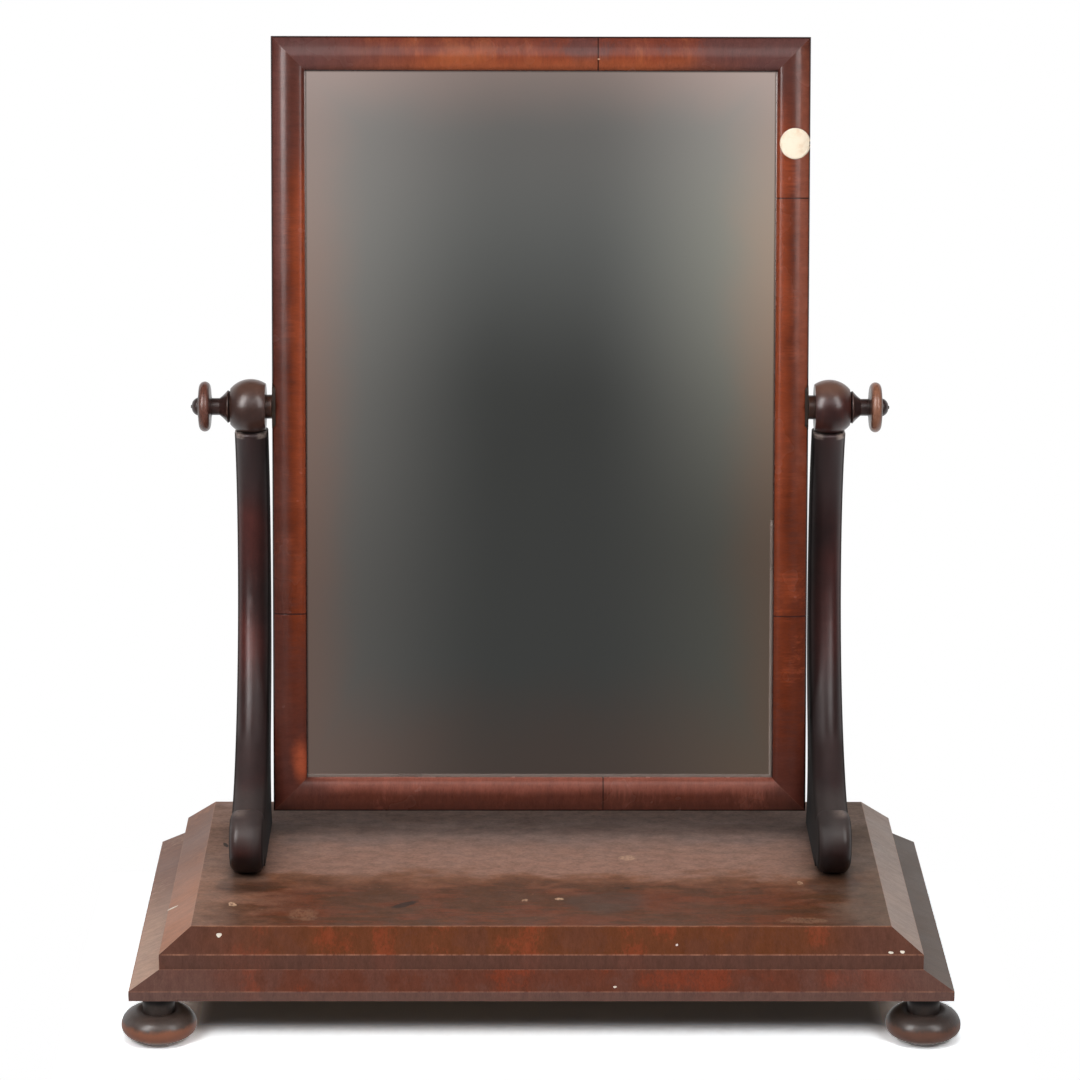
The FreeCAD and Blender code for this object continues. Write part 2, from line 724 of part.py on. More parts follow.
def screw_group(places, length):
    """Screws driven up from the underside of the platform, with their holes."""
    up = V(0, 0, 1)
    screws = []
    holes = []
    for x, y in places:
        place = V(x, y, underside)
        screws.append(wood_screw(place, up, board_screw_head_radius, board_screw_shank_radius, length))
        holes.append(wood_screw(place, up, board_screw_head_radius, board_screw_shank_radius, length,
                                bore_clearance))
    return Part.makeCompound(screws), holes


def all_pieces():
    """Every piece of the mirror by name."""
    pieces = stand_pieces()
    pieces.update(pivot_pieces())
    pieces.update(swinging_pieces())

    tier_length = top_board_underside - underside - board_screw_tip_gap
    board_screws, board_holes = screw_group(board_screw_places(), tier_length)
    foot_middle = (toe_y + heel_y) / 2
    reach = upright_screw_spread / 2
    upright_places = [(side * ball_centre, foot_middle + step) for side in (-1, 1) for step in (-reach, reach)]
    upright_screws, upright_holes = screw_group(upright_places,
                                                platform_top - underside + upright_screw_bite)
    pieces["board_screws"] = board_screws
    pieces["upright_screws"] = upright_screws
    for name in ("lower_board", "upper_core"):
        pieces[name] = in_turn(pieces[name], board_holes + upright_holes)
    for name in ("top_board", "left_upright", "right_upright"):
        pieces[name] = in_turn(pieces[name], upright_holes)
    return pieces


os.makedirs("parts", exist_ok=True)
for piece_name, piece_shape in all_pieces().items():
    piece_shape.exportStep("parts/" + piece_name + ".step")
    print(piece_name, len(piece_shape.Solids), round(piece_shape.Volume / 1000, 2), "cm3")
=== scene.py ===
# %% [markdown]
# # A dressing-table mirror that swings between scroll uprights
#
# The real thing is a piece of early Victorian furniture: a silvered plate in a frame of cushion moulding,
# hung on two turned knobs between S-scroll uprights, on a stepped platform with bun feet. The construction
# comes in as fixed solids, one object for each piece of wood, glass or metal. This file gives every piece
# its finish, adds the few things that are only skin deep, and sets up a small white studio round it.

# %% Loading the fixed pieces
import json
import math

import bmesh
import bpy
from mathutils import Euler, Matrix, Vector
from mathutils.bvhtree import BVHTree


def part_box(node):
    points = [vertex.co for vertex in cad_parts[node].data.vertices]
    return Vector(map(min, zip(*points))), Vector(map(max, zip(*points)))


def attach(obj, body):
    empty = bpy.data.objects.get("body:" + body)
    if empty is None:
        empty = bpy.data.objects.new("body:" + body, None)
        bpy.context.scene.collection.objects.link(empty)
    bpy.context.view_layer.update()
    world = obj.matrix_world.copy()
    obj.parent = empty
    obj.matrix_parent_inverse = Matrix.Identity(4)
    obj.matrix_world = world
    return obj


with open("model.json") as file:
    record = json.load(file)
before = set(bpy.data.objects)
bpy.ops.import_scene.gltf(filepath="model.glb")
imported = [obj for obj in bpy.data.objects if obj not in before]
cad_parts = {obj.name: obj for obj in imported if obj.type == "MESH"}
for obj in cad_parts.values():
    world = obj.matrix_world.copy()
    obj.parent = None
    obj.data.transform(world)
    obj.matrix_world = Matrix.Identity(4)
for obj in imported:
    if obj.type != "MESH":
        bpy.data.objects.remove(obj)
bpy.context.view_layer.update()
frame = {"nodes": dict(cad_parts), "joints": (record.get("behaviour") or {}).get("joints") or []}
nodes = frame["nodes"]

# %% [markdown]
# ## Where things are
#
# Finishes follow the way each piece was cut, so they need a few directions: along the frame, up the frame,
# and out of its face. The frame leans back, so "up the frame" isn't straight up. Its pivot is read from the
# joint and its edges from the solids, which keeps the finishes in step if a size changes.

# %% Places read from the solids
pivot = Vector(next(j for j in frame["joints"] if j["name"] == "mirror_tilt")["pos_m"])
across_x = Vector((1, 0, 0))
across_y = Vector((0, 1, 0))
up = Vector((0, 0, 1))
lean = math.radians(11.25)
up_frame = Vector((0.0, math.sin(lean), math.cos(lean)))
out_of_frame = Vector((0.0, -math.cos(lean), math.sin(lean)))


def reach(piece, direction):
    """How far a solid reaches along a direction from the pivot, least and most."""
    distances = [(vertex.co - pivot).dot(direction) for vertex in nodes[piece].data.vertices]
    return min(distances), max(distances)


frame_bottom = reach("frame_bottom_rail", up_frame)[0]
frame_top = reach("frame_top_rail", up_frame)[1]
frame_side = reach("frame_right_stile", across_x)[1]
moulding_width = frame_top - reach("frame_top_rail", up_frame)[0]
sight_side = frame_side - moulding_width
mid_height = (frame_top + frame_bottom) / 2
half_height = (frame_top - frame_bottom) / 2
sight_top = frame_top - moulding_width
sight_bottom = frame_bottom + moulding_width
platform_low, platform_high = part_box("lower_front_moulding")
board_low, board_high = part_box("top_board")
print("frame", round(frame_bottom, 4), "to", round(frame_top, 4), "m from the pivot")

# %% [markdown]
# ## The camera
#
# A plain camera with a long lens, a little above the mirror and looking slightly down, so that the top of
# the platform shows but the top of the frame doesn't. It could be aimed by a constraint, but fixed angles
# are easier to read back and can't drift.


# %% Camera
def in_scene(name, data):
    """Puts a mesh, lamp or camera in the scene as an object."""
    made = bpy.data.objects.new(name, data)
    bpy.context.scene.collection.objects.link(made)
    print("added", name)
    return made


camera_place = Vector((-0.0300, -3.2246, 1.3145))
camera_pitch = 0.28464
camera_yaw = -0.009
camera_roll = 0.0035
camera_data = bpy.data.cameras.new("long_lens")
camera_data.sensor_width = 36.0
camera_data.lens = 135.9
camera_data.clip_end = 60.0
camera = in_scene("long_lens", camera_data)
camera.location = camera_place
aim = Euler((math.pi / 2 - camera_pitch, 0.0, camera_yaw)).to_matrix() @ Matrix.Rotation(camera_roll, 3, "Z")
camera.rotation_euler = aim.to_euler()
bpy.context.scene.camera = camera
bpy.context.scene.view_settings.view_transform = "Standard"

# %% [markdown]
# ## A short way to write node trees
#
# Every finish below is a node tree. Written out in full each node takes three or four lines, so a few
# functions add nodes to the tree being filled and hand back values, which add and multiply like numbers. A
# finish then reads like a sum. The trees could be drawn by hand, but finishes couldn't share their steps.

# %% Values: node outputs that behave like numbers
filling = None


def fill(tree):
    """Empties a node tree and makes it the one that nodes are added to."""
    global filling
    filling = tree
    tree.nodes.clear()


class Value:
    """A node's output. Sums and products of values are Math nodes."""

    def __init__(self, socket):
        self.socket = socket

    def __add__(self, other):
        return maths("ADD", self, other)

    def __radd__(self, other):
        return maths("ADD", other, self)

    def __sub__(self, other):
        return maths("SUBTRACT", self, other)

    def __rsub__(self, other):
        return maths("SUBTRACT", other, self)

    def __mul__(self, other):
        return maths("MULTIPLY", self, other)

    def __truediv__(self, other):
        return maths("DIVIDE", self, other)

    def __abs__(self):
        return maths("ABSOLUTE", self)

    def rise(self, low, high, bottom=0.0, top=1.0):
        """A smooth step from bottom to top as the value goes from low to high."""
        inputs = {"Value": self, "From Min": low, "From Max": high, "To Min": bottom, "To Max": top}
        return out("MapRange", inputs, interpolation_type="SMOOTHSTEP")

    def fall(self, low, high, top=1.0):
        """A smooth step from top down to 0 as the value goes from low to high."""
        return self.rise(low, high, top, 0.0)


# %% Adding nodes
def connect(value, socket):
    """Links a value to a socket, or sets a plain number, colour or vector on it."""
    if isinstance(value, Value):
        filling.links.new(value.socket, socket)
    else:
        socket.default_value = value


def add(kind, inputs=None, **settings):
    """Adds a node to the tree being filled. Inputs may be numbers, colours, vectors or values."""
    node = filling.nodes.new("ShaderNode" + kind)
    for name, value in settings.items():
        setattr(node, name, value)
    for key, value in (inputs or {}).items():
        connect(value, node.inputs[key])
    return node


def out(kind, inputs=None, output=0, **settings):
    """Adds a node and hands back one of its outputs."""
    return Value(add(kind, inputs, **settings).outputs[output])


def all_of(node):
    """All of a node's outputs, by name."""
    return {socket.name: Value(socket) for socket in node.outputs}


def maths(operation, *inputs, clamp=False):
    return out("Math", dict(enumerate(inputs)), operation=operation, use_clamp=clamp)


# %% Places, distances and directions
def here():
    """The point being shaded, in metres in the mirror's own frame at rest."""
    return out("TexCoord", output="Object")


def measure(axis, start=0.0):
    """How far the point being shaded is along an axis."""
    return out("VectorMath", {0: here(), 1: tuple(axis)}, "Value", operation="DOT_PRODUCT") - start


def true_normal():
    return out("NewGeometry", output="Normal")


def joined(x, y, z=0.0):
    return out("CombineXYZ", {0: x, 1: y, 2: z})


def parts(vector):
    """The X, Y and Z of a vector."""
    return list(all_of(add("SeparateXYZ", {0: vector})).values())


def stretched(place, factors):
    return out("VectorMath", {0: place, 1: factors}, operation="MULTIPLY")


def length(x, y):
    """How far a point with these two coordinates is from 0, 0."""
    return out("VectorMath", {0: joined(x, y)}, "Value", operation="LENGTH")


# %% Unevenness, colour and relief
def noise(place, scale, detail=3.0, roughness=0.5, distortion=0.0):
    inputs = {"Vector": place, "Scale": scale, "Detail": detail, "Roughness": roughness,
              "Distortion": distortion}
    return out("TexNoise", inputs)


def linear(red, green, blue):
    """A colour given as it looks on screen, 0 to 255, turned into the linear light that shaders use."""
    channels = [value / 255 for value in (red, green, blue)]
    return (*(c / 12.92 if c <= 0.04045 else ((c + 0.055) / 1.055) ** 2.4 for c in channels), 1.0)


def grey(level):
    return (level, level, level, 1.0)


def blend(amount, first, second, mode="MIX"):
    """One colour going over to another. A colour of three numbers is one as it looks on screen."""
    first, second = (linear(*c) if isinstance(c, tuple) and len(c) == 3 else c for c in (first, second))
    return out("Mix", {0: amount, 6: first, 7: second}, 2, data_type="RGBA", blend_type=mode)


def bump(height, depth, strength, normal=None):
    """The surface's own normal, or another, tilted by a height of 0 to 1 over a depth in metres."""
    inputs = {"Height": height, "Distance": depth, "Strength": strength}
    return out("Bump", {**inputs, "Normal": normal} if normal else inputs)


def oval(first, second, centre, size, ragged=0.5, turn=0.0, solid=0.75):
    """1 inside an uneven oval and 0 outside; solid is where, on the way out, it starts to go."""
    a = first - centre[0]
    b = second - centre[1]
    cosine, sine = math.cos(math.radians(turn)), math.sin(math.radians(turn))
    along = b * sine + a * cosine
    across = a * -sine + b * cosine
    distance = length(along / (size[0] / 2), across / (size[1] / 2))
    uneven = noise(here(), 1.4 / min(size), 3.0, 0.6)
    return (distance + (uneven - 0.5) * ragged).fall(solid, 1.1)


print("middle grey is", round(linear(128, 128, 128)[0], 3), "of white")


# %% Shared groups and materials
def new_group(name, inputs, outputs, made="Float"):
    """Starts a shared node group and hands it back with its inputs. Each input is a number, a vector or a
    colour, as its usual value is; made is the kind of all outputs."""
    print("group", name)
    group = bpy.data.node_groups.new(name, "ShaderNodeTree")
    for label, value in inputs.items():
        kind = {3: "Vector", 4: "Color"}[len(value)] if isinstance(value, tuple) else "Float"
        socket = group.interface.new_socket(label, in_out="INPUT", socket_type="NodeSocket" + kind)
        socket.default_value = value
    for label in outputs:
        group.interface.new_socket(label, in_out="OUTPUT", socket_type="NodeSocket" + made)
    fill(group)
    return group, all_of(filling.nodes.new("NodeGroupInput"))


def hand_out(**values):
    """Ends a shared node group by connecting its outputs."""
    results = filling.nodes.new("NodeGroupOutput").inputs
    for name, value in values.items():
        connect(value, results[name.capitalize()])


def use(group, **inputs):
    """Places a shared node group and hands back its outputs by name."""
    given = {name.replace("_", " ").capitalize(): value for name, value in inputs.items()}
    return all_of(add("Group", given, node_tree=group))


def new_material(name, shader):
    """A material whose surface is what shader() adds."""
    material = bpy.data.materials.new(name)
    material.use_nodes = True
    fill(material.node_tree)
    add("OutputMaterial", {"Surface": shader()})
    return material


def finish(name, surface):
    """A material whose Principled shader gets its sockets from surface(), a function that returns them."""
    return new_material(name, lambda: out("BsdfPrincipled", surface()))


finished = set()


def give(material, *pieces):
    """Puts a finish on fixed pieces."""
    for piece in pieces:
        slots = nodes[piece].data.materials
        slots.clear()
        slots.append(material)
        finished.add(piece)
    print(material.name, "on", *pieces)


# %% [markdown]
# ## Effects that several finishes share
#
# Mahogany, pine and beech differ in colour, but all have streaks, broad bands and pores drawn out along the
# grain. Veneer on a moulding is laid in short leaves with the grain across it, so its shade drifts from
# leaf to leaf. Arrises rub pale. Corners are darkened, partly by soiling and old wax and partly as painted
# shade; on metal the same mask places oxide. Each of these is a node group built once. Most only put out
# masks, and each finish decides what colour a mask means.

# %% Wood grain: X across the grain, Y along it, Z into the wood
grain, given = new_group("wood_grain", {"Place": (0, 0, 0), "Waviness": 0.004}, ["Streaks", "Bands", "Pores"])
wander = (noise(stretched(given["Place"], (14.0, 4.0, 14.0)), 1.0, 2.0) - 0.5) * given["Waviness"]
wavy = out("VectorMath", {0: given["Place"], 1: joined(wander, 0.0, wander)}, operation="ADD")
streaks = noise(stretched(wavy, (430.0, 16.0, 430.0)), 1.0, 5.0, 0.6)
bands = noise(stretched(wavy, (70.0, 5.0, 70.0)), 1.0, 3.0, 0.55)
pores = noise(stretched(wavy, (2400.0, 110.0, 2400.0)), 1.0, 1.0, 0.5)
hand_out(streaks=streaks.rise(0.3, 0.7), bands=bands.rise(0.3, 0.7), pores=pores.rise(0.62, 0.74))

# %% Leaves of veneer: short lengths that each took the stain differently
leaves, given = new_group("veneer_leaves", {"Along": 0.0, "Leaf length": 0.06, "Seed": 0.0}, ["Shade"])
counted = given["Along"] / given["Leaf length"] + given["Seed"]
steps = out("TexNoise", {"W": counted, "Scale": 0.9, "Detail": 1.0, "Roughness": 0.4}, noise_dimensions="1D")
hand_out(shade=steps.rise(0.22, 0.78))

# %% Mottling: the small unevenness of old polish
usual = {"Tone": (1, 1, 1, 1), "Place": (0, 0, 0), "Strength": 0.2}
mottled, given = new_group("mottled_tone", usual, ["Tone"], made="Color")
fine = noise(given["Place"], 1.0, 4.0, 0.7)
coarse = noise(given["Place"], 0.21, 3.0, 0.6)
factor = 1.0 + (fine * 0.5 + coarse * 0.5 - 0.5) * given["Strength"] * 4.0
hand_out(tone=blend(1.0, given["Tone"], joined(factor, factor, factor), "MULTIPLY"))

# %% Worn arrises: where a rounded-off normal parts from the true one
worn_edges, given = new_group("worn_edges", {"Width": 0.0008, "Patchiness": 0.6}, ["Wear"])
soft_normal = out("Bevel", {"Radius": given["Width"]}, samples=4)
agreement = out("VectorMath", {0: soft_normal, 1: true_normal()}, "Value", operation="DOT_PRODUCT")
patches = noise(here(), 55.0, 4.0, 0.7).rise(0.38, 0.62)
kept = 1.0 + (patches - 1.0) * given["Patchiness"]
hand_out(wear=maths("MULTIPLY", agreement.fall(0.8, 0.99), kept, clamp=True))

# %% Old wax, soiling and painted shade in corners: darker where the surface is enclosed
corner_dirt, given = new_group("corner_dirt", {"Reach": 0.012}, ["Dirt"])
openness = out("AmbientOcclusion", {"Distance": given["Reach"]}, "AO", samples=4)
uneven = noise(here(), 90.0, 3.0, 0.6).rise(0.25, 0.6, 0.5)
hand_out(dirt=openness.fall(0.25, 0.85) * uneven)

# %% [markdown]
# ## Cross-banded mahogany
#
# The frame's moulding and the platform's bevels are softwood under a thin veneer whose grain runs across
# the moulding. It could be painted as one long board, but then the streaks would run the wrong way and the
# leaves would be lost, which is what makes such a frame look made. The function takes the direction along
# the moulding and across it, so one recipe serves rails, stiles and platform edges. Three tones do the
# work: the dull one is purple-brown polish, and on the frame also painted reflection on the outer shoulder
# and at the corners; the deep one is most of the wood; the bright one is red wood, and on the frame and
# the platform's sides also painted highlight and glare.


# %% Cross-banded veneer: softness is how far sanding and polish have blended the flats of a section
softness = 0.0032


def cross_banded(name, along, across, tones, seed, leaf, contrast, dull_at, bright_at=None, seams=(),
                 arrises=(), dark_lines=(), chips=(), glows=(), gloss=0.15, shine=0.5, mitres=None,
                 dull_leaves=0.8):
    """Veneer with its grain across a moulding. dull_at and bright_at(run, width) place two of the tones;
    chips and the tone patches are each given with a place and size, and some patches are painted highlights.
    With mitres, which are the outer edge, middle and half length of a side, the section's flats are blended
    into one curve, but the joints at its ends stay crisp."""
    dull, deep, bright = tones

    def surface():
        run = measure(along, pivot.dot(along))
        width = measure(across, pivot.dot(across))
        depth = measure(along.cross(across))
        ragged = noise(joined(run, width, depth), 60.0, 4.0, 0.7)
        leaf_of = use(leaves, along=run + ragged * 0.008, leaf_length=leaf, seed=seed)
        wood = use(grain, place=joined(run + seed, width, depth))
        cloud = noise(joined(run + seed, width), 22.0).rise(0.32, 0.68)
        shade = 0.5 + (leaf_of["Shade"] - 0.5) * contrast + (cloud - 0.5) * contrast * 1.3
        shade = shade + (wood["Bands"] - 0.5) * 0.04 + (wood["Streaks"] - 0.5) * 0.24
        base = blend(shade.rise(0.55, 0.95), deep, bright)
        base = blend(shade.rise(0.5, 0.1, 0.0, dull_leaves), base, dull)
        if bright_at:
            base = blend(bright_at(run, width), base, bright)
        base = blend(dull_at(run, width), base, dull)
        for centre, size, tone in glows:
            base = blend(oval(run, width, centre, size, 0.8, solid=0.1), base, tone)
        base = blend(wood["Pores"] * 0.3, base, (40, 18, 14))
        speckle = stretched(joined(run, width, depth), (900.0, 260.0, 260.0))
        base = use(mottled, tone=base, place=speckle, strength=0.3)["Tone"]
        lines = 0.0
        for place in seams:
            lines = maths("MAXIMUM", lines, abs(run - place).fall(0.0003, 0.0009))
        base = blend(lines * 0.85, base, (34, 14, 12))
        for line, solid, soft, strength in dark_lines:
            base = blend(abs(width - line).fall(solid, soft, strength), base, (34, 10, 8))
        broken = noise(joined(run, seed), 70.0, 5.0, 0.75).rise(0.36, 0.66)
        height = measure(up)
        for (line, level), strength in arrises:
            near = length(width - line, height - level).fall(0.0003, 0.0011, strength)
            base = blend(near * broken, base, (176, 124, 98))
        for centre, size in chips:
            base = blend(oval(run, width, centre, size), base, (206, 170, 140))
        base = blend(use(worn_edges, width=0.0007, patchiness=0.85)["Wear"] * 0.3, base, (150, 100, 80))
        # Soiling and painted shade in corners and joints
        dirt = use(corner_dirt, reach=0.005)["Dirt"]
        base = blend(dirt * 0.8, base, (24, 12, 10))
        relief = wood["Streaks"] * 0.15 - (wood["Pores"] + lines)
        curved = None
        if mitres:
            outer, centre, half = mitres
            from_mitre = half - abs(run - centre) - abs(width - outer)
            rounded = out("Bevel", {"Radius": softness}, samples=8)
            curved = blend(from_mitre.rise(1.2 * softness, 2.4 * softness), true_normal(), rounded)
        return {
            "Base Color": base,
            "Roughness": gloss + cloud * 0.08 + dirt * 0.25,
            "Normal": bump(relief, 0.00008, 0.5, curved),
            "Specular IOR Level": shine,
        }

    return finish(name, surface)


# %% The frame's four sides: brighter inner half, dull outer half and corners, both partly painted light
# A dark line along an edge: how far it is solid, where it ends, and its strength
outer_dark = (0.0006, 0.0022, 0.95)
sight_dark = (0.0002, 0.0014, 0.85)
top_tones = ((94, 58, 54), (124, 56, 36), (150, 76, 44))
stile_tones = ((80, 40, 32), (94, 36, 12), (138, 60, 30))
bottom_tones = ((78, 43, 36), (90, 45, 32), (136, 78, 64))


def veneer_side(side, layout, edges, tones, seed, dull, bright, share=None, bright_outer=0.0,
                dark=(outer_dark, sight_dark), **settings):
    """Veneer on one side of the frame, with a dark line along its outer and its sight edge. dull is how far
    the dull tone reaches from the mitres and how strong it is on the outer half; in both places it is partly
    painted reflection. bright is for the inner half, where it is partly a painted highlight, and share says
    between which heights it comes to its full, and from what part of it, so it is painted stronger towards
    the top."""
    along, across, middle, half = layout
    outer, inner = edges
    fade, dull_outer = dull

    def dull_at(run, width):
        shift = noise(here(), 16.0, 2.0) - 0.5
        inwards = (width - outer) / (inner - outer) + shift * 0.5
        from_end = half - abs(run - middle) + shift * 0.12
        return maths("MAXIMUM", inwards.fall(0.25, 0.65, dull_outer), from_end.fall(0.25 * fade, fade))

    def bright_at(run, width):
        shift = noise(here(), 26.0) - 0.5
        inwards = (width - outer) / (inner - outer) + shift * 0.4
        inner_part = inwards.rise(0.45, 0.85, 0.0, bright) * (run.rise(*share) if share else 1.0)
        outer_part = inwards.fall(0.05, 0.45, bright_outer) * run.rise(-0.25, 0.2)
        return maths("MAXIMUM", inner_part, outer_part) if bright_outer else inner_part

    give(cross_banded(side + "_veneer", along, across, tones, seed, dull_at=dull_at, bright_at=bright_at,
                      dark_lines=[(edge, *line) for edge, line in zip(edges, dark)],
                      mitres=(outer, middle, half), gloss=0.2, shine=0.36, **settings), "frame_" + side)


# Along and across, then the middle and half the length
rail = (across_x, up_frame, 0.0, frame_side)
stile = (up_frame, across_x, mid_height, half_height)
stiles = {"bright": 0.85, "share": (-0.28, 0.05, 0.15), "leaf": 0.07, "contrast": 0.3}
veneer_side("top_rail", rail, (frame_top, sight_top), top_tones, seed=3.0, dull=(0.13, 0.25), bright=0.8,
            leaf=0.05, contrast=0.5, seams=[0.048], chips=[((0.0485, frame_top - 0.019), (0.0022, 0.0011))])
veneer_side("bottom_rail", rail, (frame_bottom, sight_bottom), bottom_tones, seed=11.4,
            dull=(0.05, 0.5), bright=0.9, dark=(outer_dark,), leaf=0.05, contrast=0.2, seams=[0.054])
veneer_side("left_stile", stile, (-frame_side, -sight_side), stile_tones, seed=21.7, dull=(0.16, 0.75),
            seams=[-0.1757], **stiles,
            glows=[((frame_bottom + 0.043, -sight_side - 0.0040), (0.046, 0.022), (156, 74, 46)),
                   # The second patch is a painted highlight along the outer edge, near the top
                   ((0.20, 0.0055 - frame_side), (0.36, 0.016), (106, 62, 56))])
veneer_side("right_stile", stile, (frame_side, sight_side), stile_tones, seed=35.2, dull=(0.1, 0.1),
            bright_outer=1.0, seams=[0.1766, -0.1774], **stiles,
            # A painted highlight along the outer edge, near the top
            glows=[((0.14, frame_side - 0.0055), (0.50, 0.016), (134, 74, 56))])


# %% The platform's mouldings: dull on their upright edges, rubbed pale along their arrises
def profile_of(piece, axis, outwards):
    """Where a moulding's arrises are: at the top of its upright edge, and at the top of its bevel."""
    low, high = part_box(piece)
    edge = low[axis] if outwards < 0 else high[axis]
    points = [v.co for v in nodes[piece].data.vertices]
    edge_top = max(p.z for p in points if abs(p[axis] - edge) < 1e-5)
    bevel_top = [p[axis] for p in points if abs(p.z - high.z) < 1e-5]
    inner = min(bevel_top) if outwards < 0 else max(bevel_top)
    return edge, edge_top, inner, high.z


def veneer_moulding(place, along, axis, outwards, tones, seed, strengths, dull_ends=(), **settings):
    """Cross-banded veneer on one of the platform's mouldings, with rubbed arrises of two strengths."""
    piece = place + "_moulding"
    edge, edge_top, inner, top = profile_of(piece, axis, outwards)
    across = across_y if axis == 1 else across_x

    def dull_at(run, width):
        dullness = measure(up).fall(edge_top - 0.0006, edge_top + 0.0004, 0.75)
        placed = run + (noise(here(), 18.0, 2.0) - 0.5) * 0.12
        for start, stop, strength in dull_ends:
            from_end = abs(placed - start).fall(0.0, abs(stop - start), strength)
            dullness = maths("MAXIMUM", dullness, from_end)
        return dullness

    origin = pivot.dot(across)
    arrises = [((edge - origin, edge_top), strengths[0]), ((inner - origin, top), strengths[1])]
    give(cross_banded(place + "_veneer", along, across, tones, seed, dull_at=dull_at, arrises=arrises,
                      **settings), piece)


def dustier_in_front(run, width):
    """More of the bright tone towards the front end of a side moulding."""
    return run.fall(-0.21, -0.06, 0.95)


upper_tones = ((96, 62, 51), (102, 57, 35), (128, 62, 37))
lower_tones = ((103, 74, 66), (100, 56, 42), (122, 58, 38))
# The side mouldings' tones are partly painted glare: paler than the wood on the left and the upper right
side_tones = {
    "upper_left": ((128, 84, 64), (136, 90, 68), (176, 115, 82)),
    "lower_left": ((130, 88, 70), (136, 92, 72), (190, 152, 130)),
    "upper_right": ((134, 120, 110), (162, 140, 128), (166, 142, 128)),
    "lower_right": ((82, 68, 58), (92, 74, 62), (98, 74, 60)),
}
side_strengths = {"upper": (0.55, 0.9), "lower": (0.3, 0.3)}
fronts = {"contrast": 0.5, "dull_leaves": 0.35}
veneer_moulding("upper_front", across_x, 1, -1, upper_tones, 5.3, (0.75, 0.8), leaf=0.034,
                dull_ends=[(-0.29, -0.17, 0.95), (0.29, 0.17, 0.9)], **fronts)
veneer_moulding("lower_front", across_x, 1, -1, lower_tones, 47.9, (0.45, 0.7), leaf=0.03,
                dull_ends=[(-0.32, -0.19, 0.95), (0.32, 0.19, 0.9)], **fronts)
for side, outwards in (("left", -1), ("right", 1)):
    for tier, strengths in side_strengths.items():
        place = tier + "_" + side
        veneer_moulding(place, across_y, 0, outwards, side_tones[place], 61.3 + 7.0 * outwards, strengths,
                        leaf=0.06, contrast=0.25, gloss=0.42,
                        bright_at=dustier_in_front if side == "left" else None)

# %% [markdown]
# ## The top of the platform
#
# One broad sheet of mahogany veneer with its grain along the platform. A pale band in front of the mirror
# is painted glare, where the lamps' light comes back off the plate. Under the frame the board is duller with
# dust and old wax, and its colour is painted grey and then pale there to lighten the frame's shadow. A
# century and a half of use has marked it: a scratch, a dark stain, a few smears. Round each upright's toe
# the board is painted darker, as shadow. Marks like these could come from one noise, but they are part of
# this piece, so each has its place.

# %% Marks on the top: kind, place from the middle, size, turn in degrees, strength
# How ragged the outline of each kind is, and its tone
mark_kinds = {
    "pale": (1.6, (206, 168, 136)),
    "stain": (0.8, (60, 42, 30)),
    "dark": (0.8, (36, 27, 22)),
    # toe: painted shadow round an upright's toe
    "toe": (0.7, (52, 42, 38)),
}
marks = [
    ("pale", (0.0744, 0.0091), (0.018, 0.012), 10.0, 0.5),
    ("pale", (0.0152, -0.0858), (0.007, 0.006), 0.0, 0.9),
    ("pale", (-0.0130, -0.0890), (0.006, 0.006), 0.0, 0.6),
    ("pale", (0.2159, -0.0492), (0.005, 0.008), 0.0, 0.6),
    ("pale", (-0.1958, -0.1216), (0.030, 0.030), 0.0, 0.16),
    ("pale", (-0.2535, -0.0972), (0.0064, 0.0110), 20.0, 1.0),
    ("pale", (0.2118, -0.1333), (0.040, 0.014), 0.0, 0.16),
    ("stain", (0.0538, -0.0925), (0.076, 0.050), 0.0, 0.55),
    ("dark", (-0.1124, -0.0990), (0.028, 0.0090), 37.0, 0.85),
    ("dark", (0.0715, -0.0608), (0.006, 0.004), 0.0, 0.85),
    ("dark", (-0.2675, 0.0400), (0.004, 0.012), 20.0, 0.85),
    # Painted shadow round the uprights' toes
    ("toe", (-0.2452, -0.052), (0.046, 0.050), 0.0, 0.4),
    ("toe", (0.2452, -0.052), (0.046, 0.050), 0.0, 0.4),
]


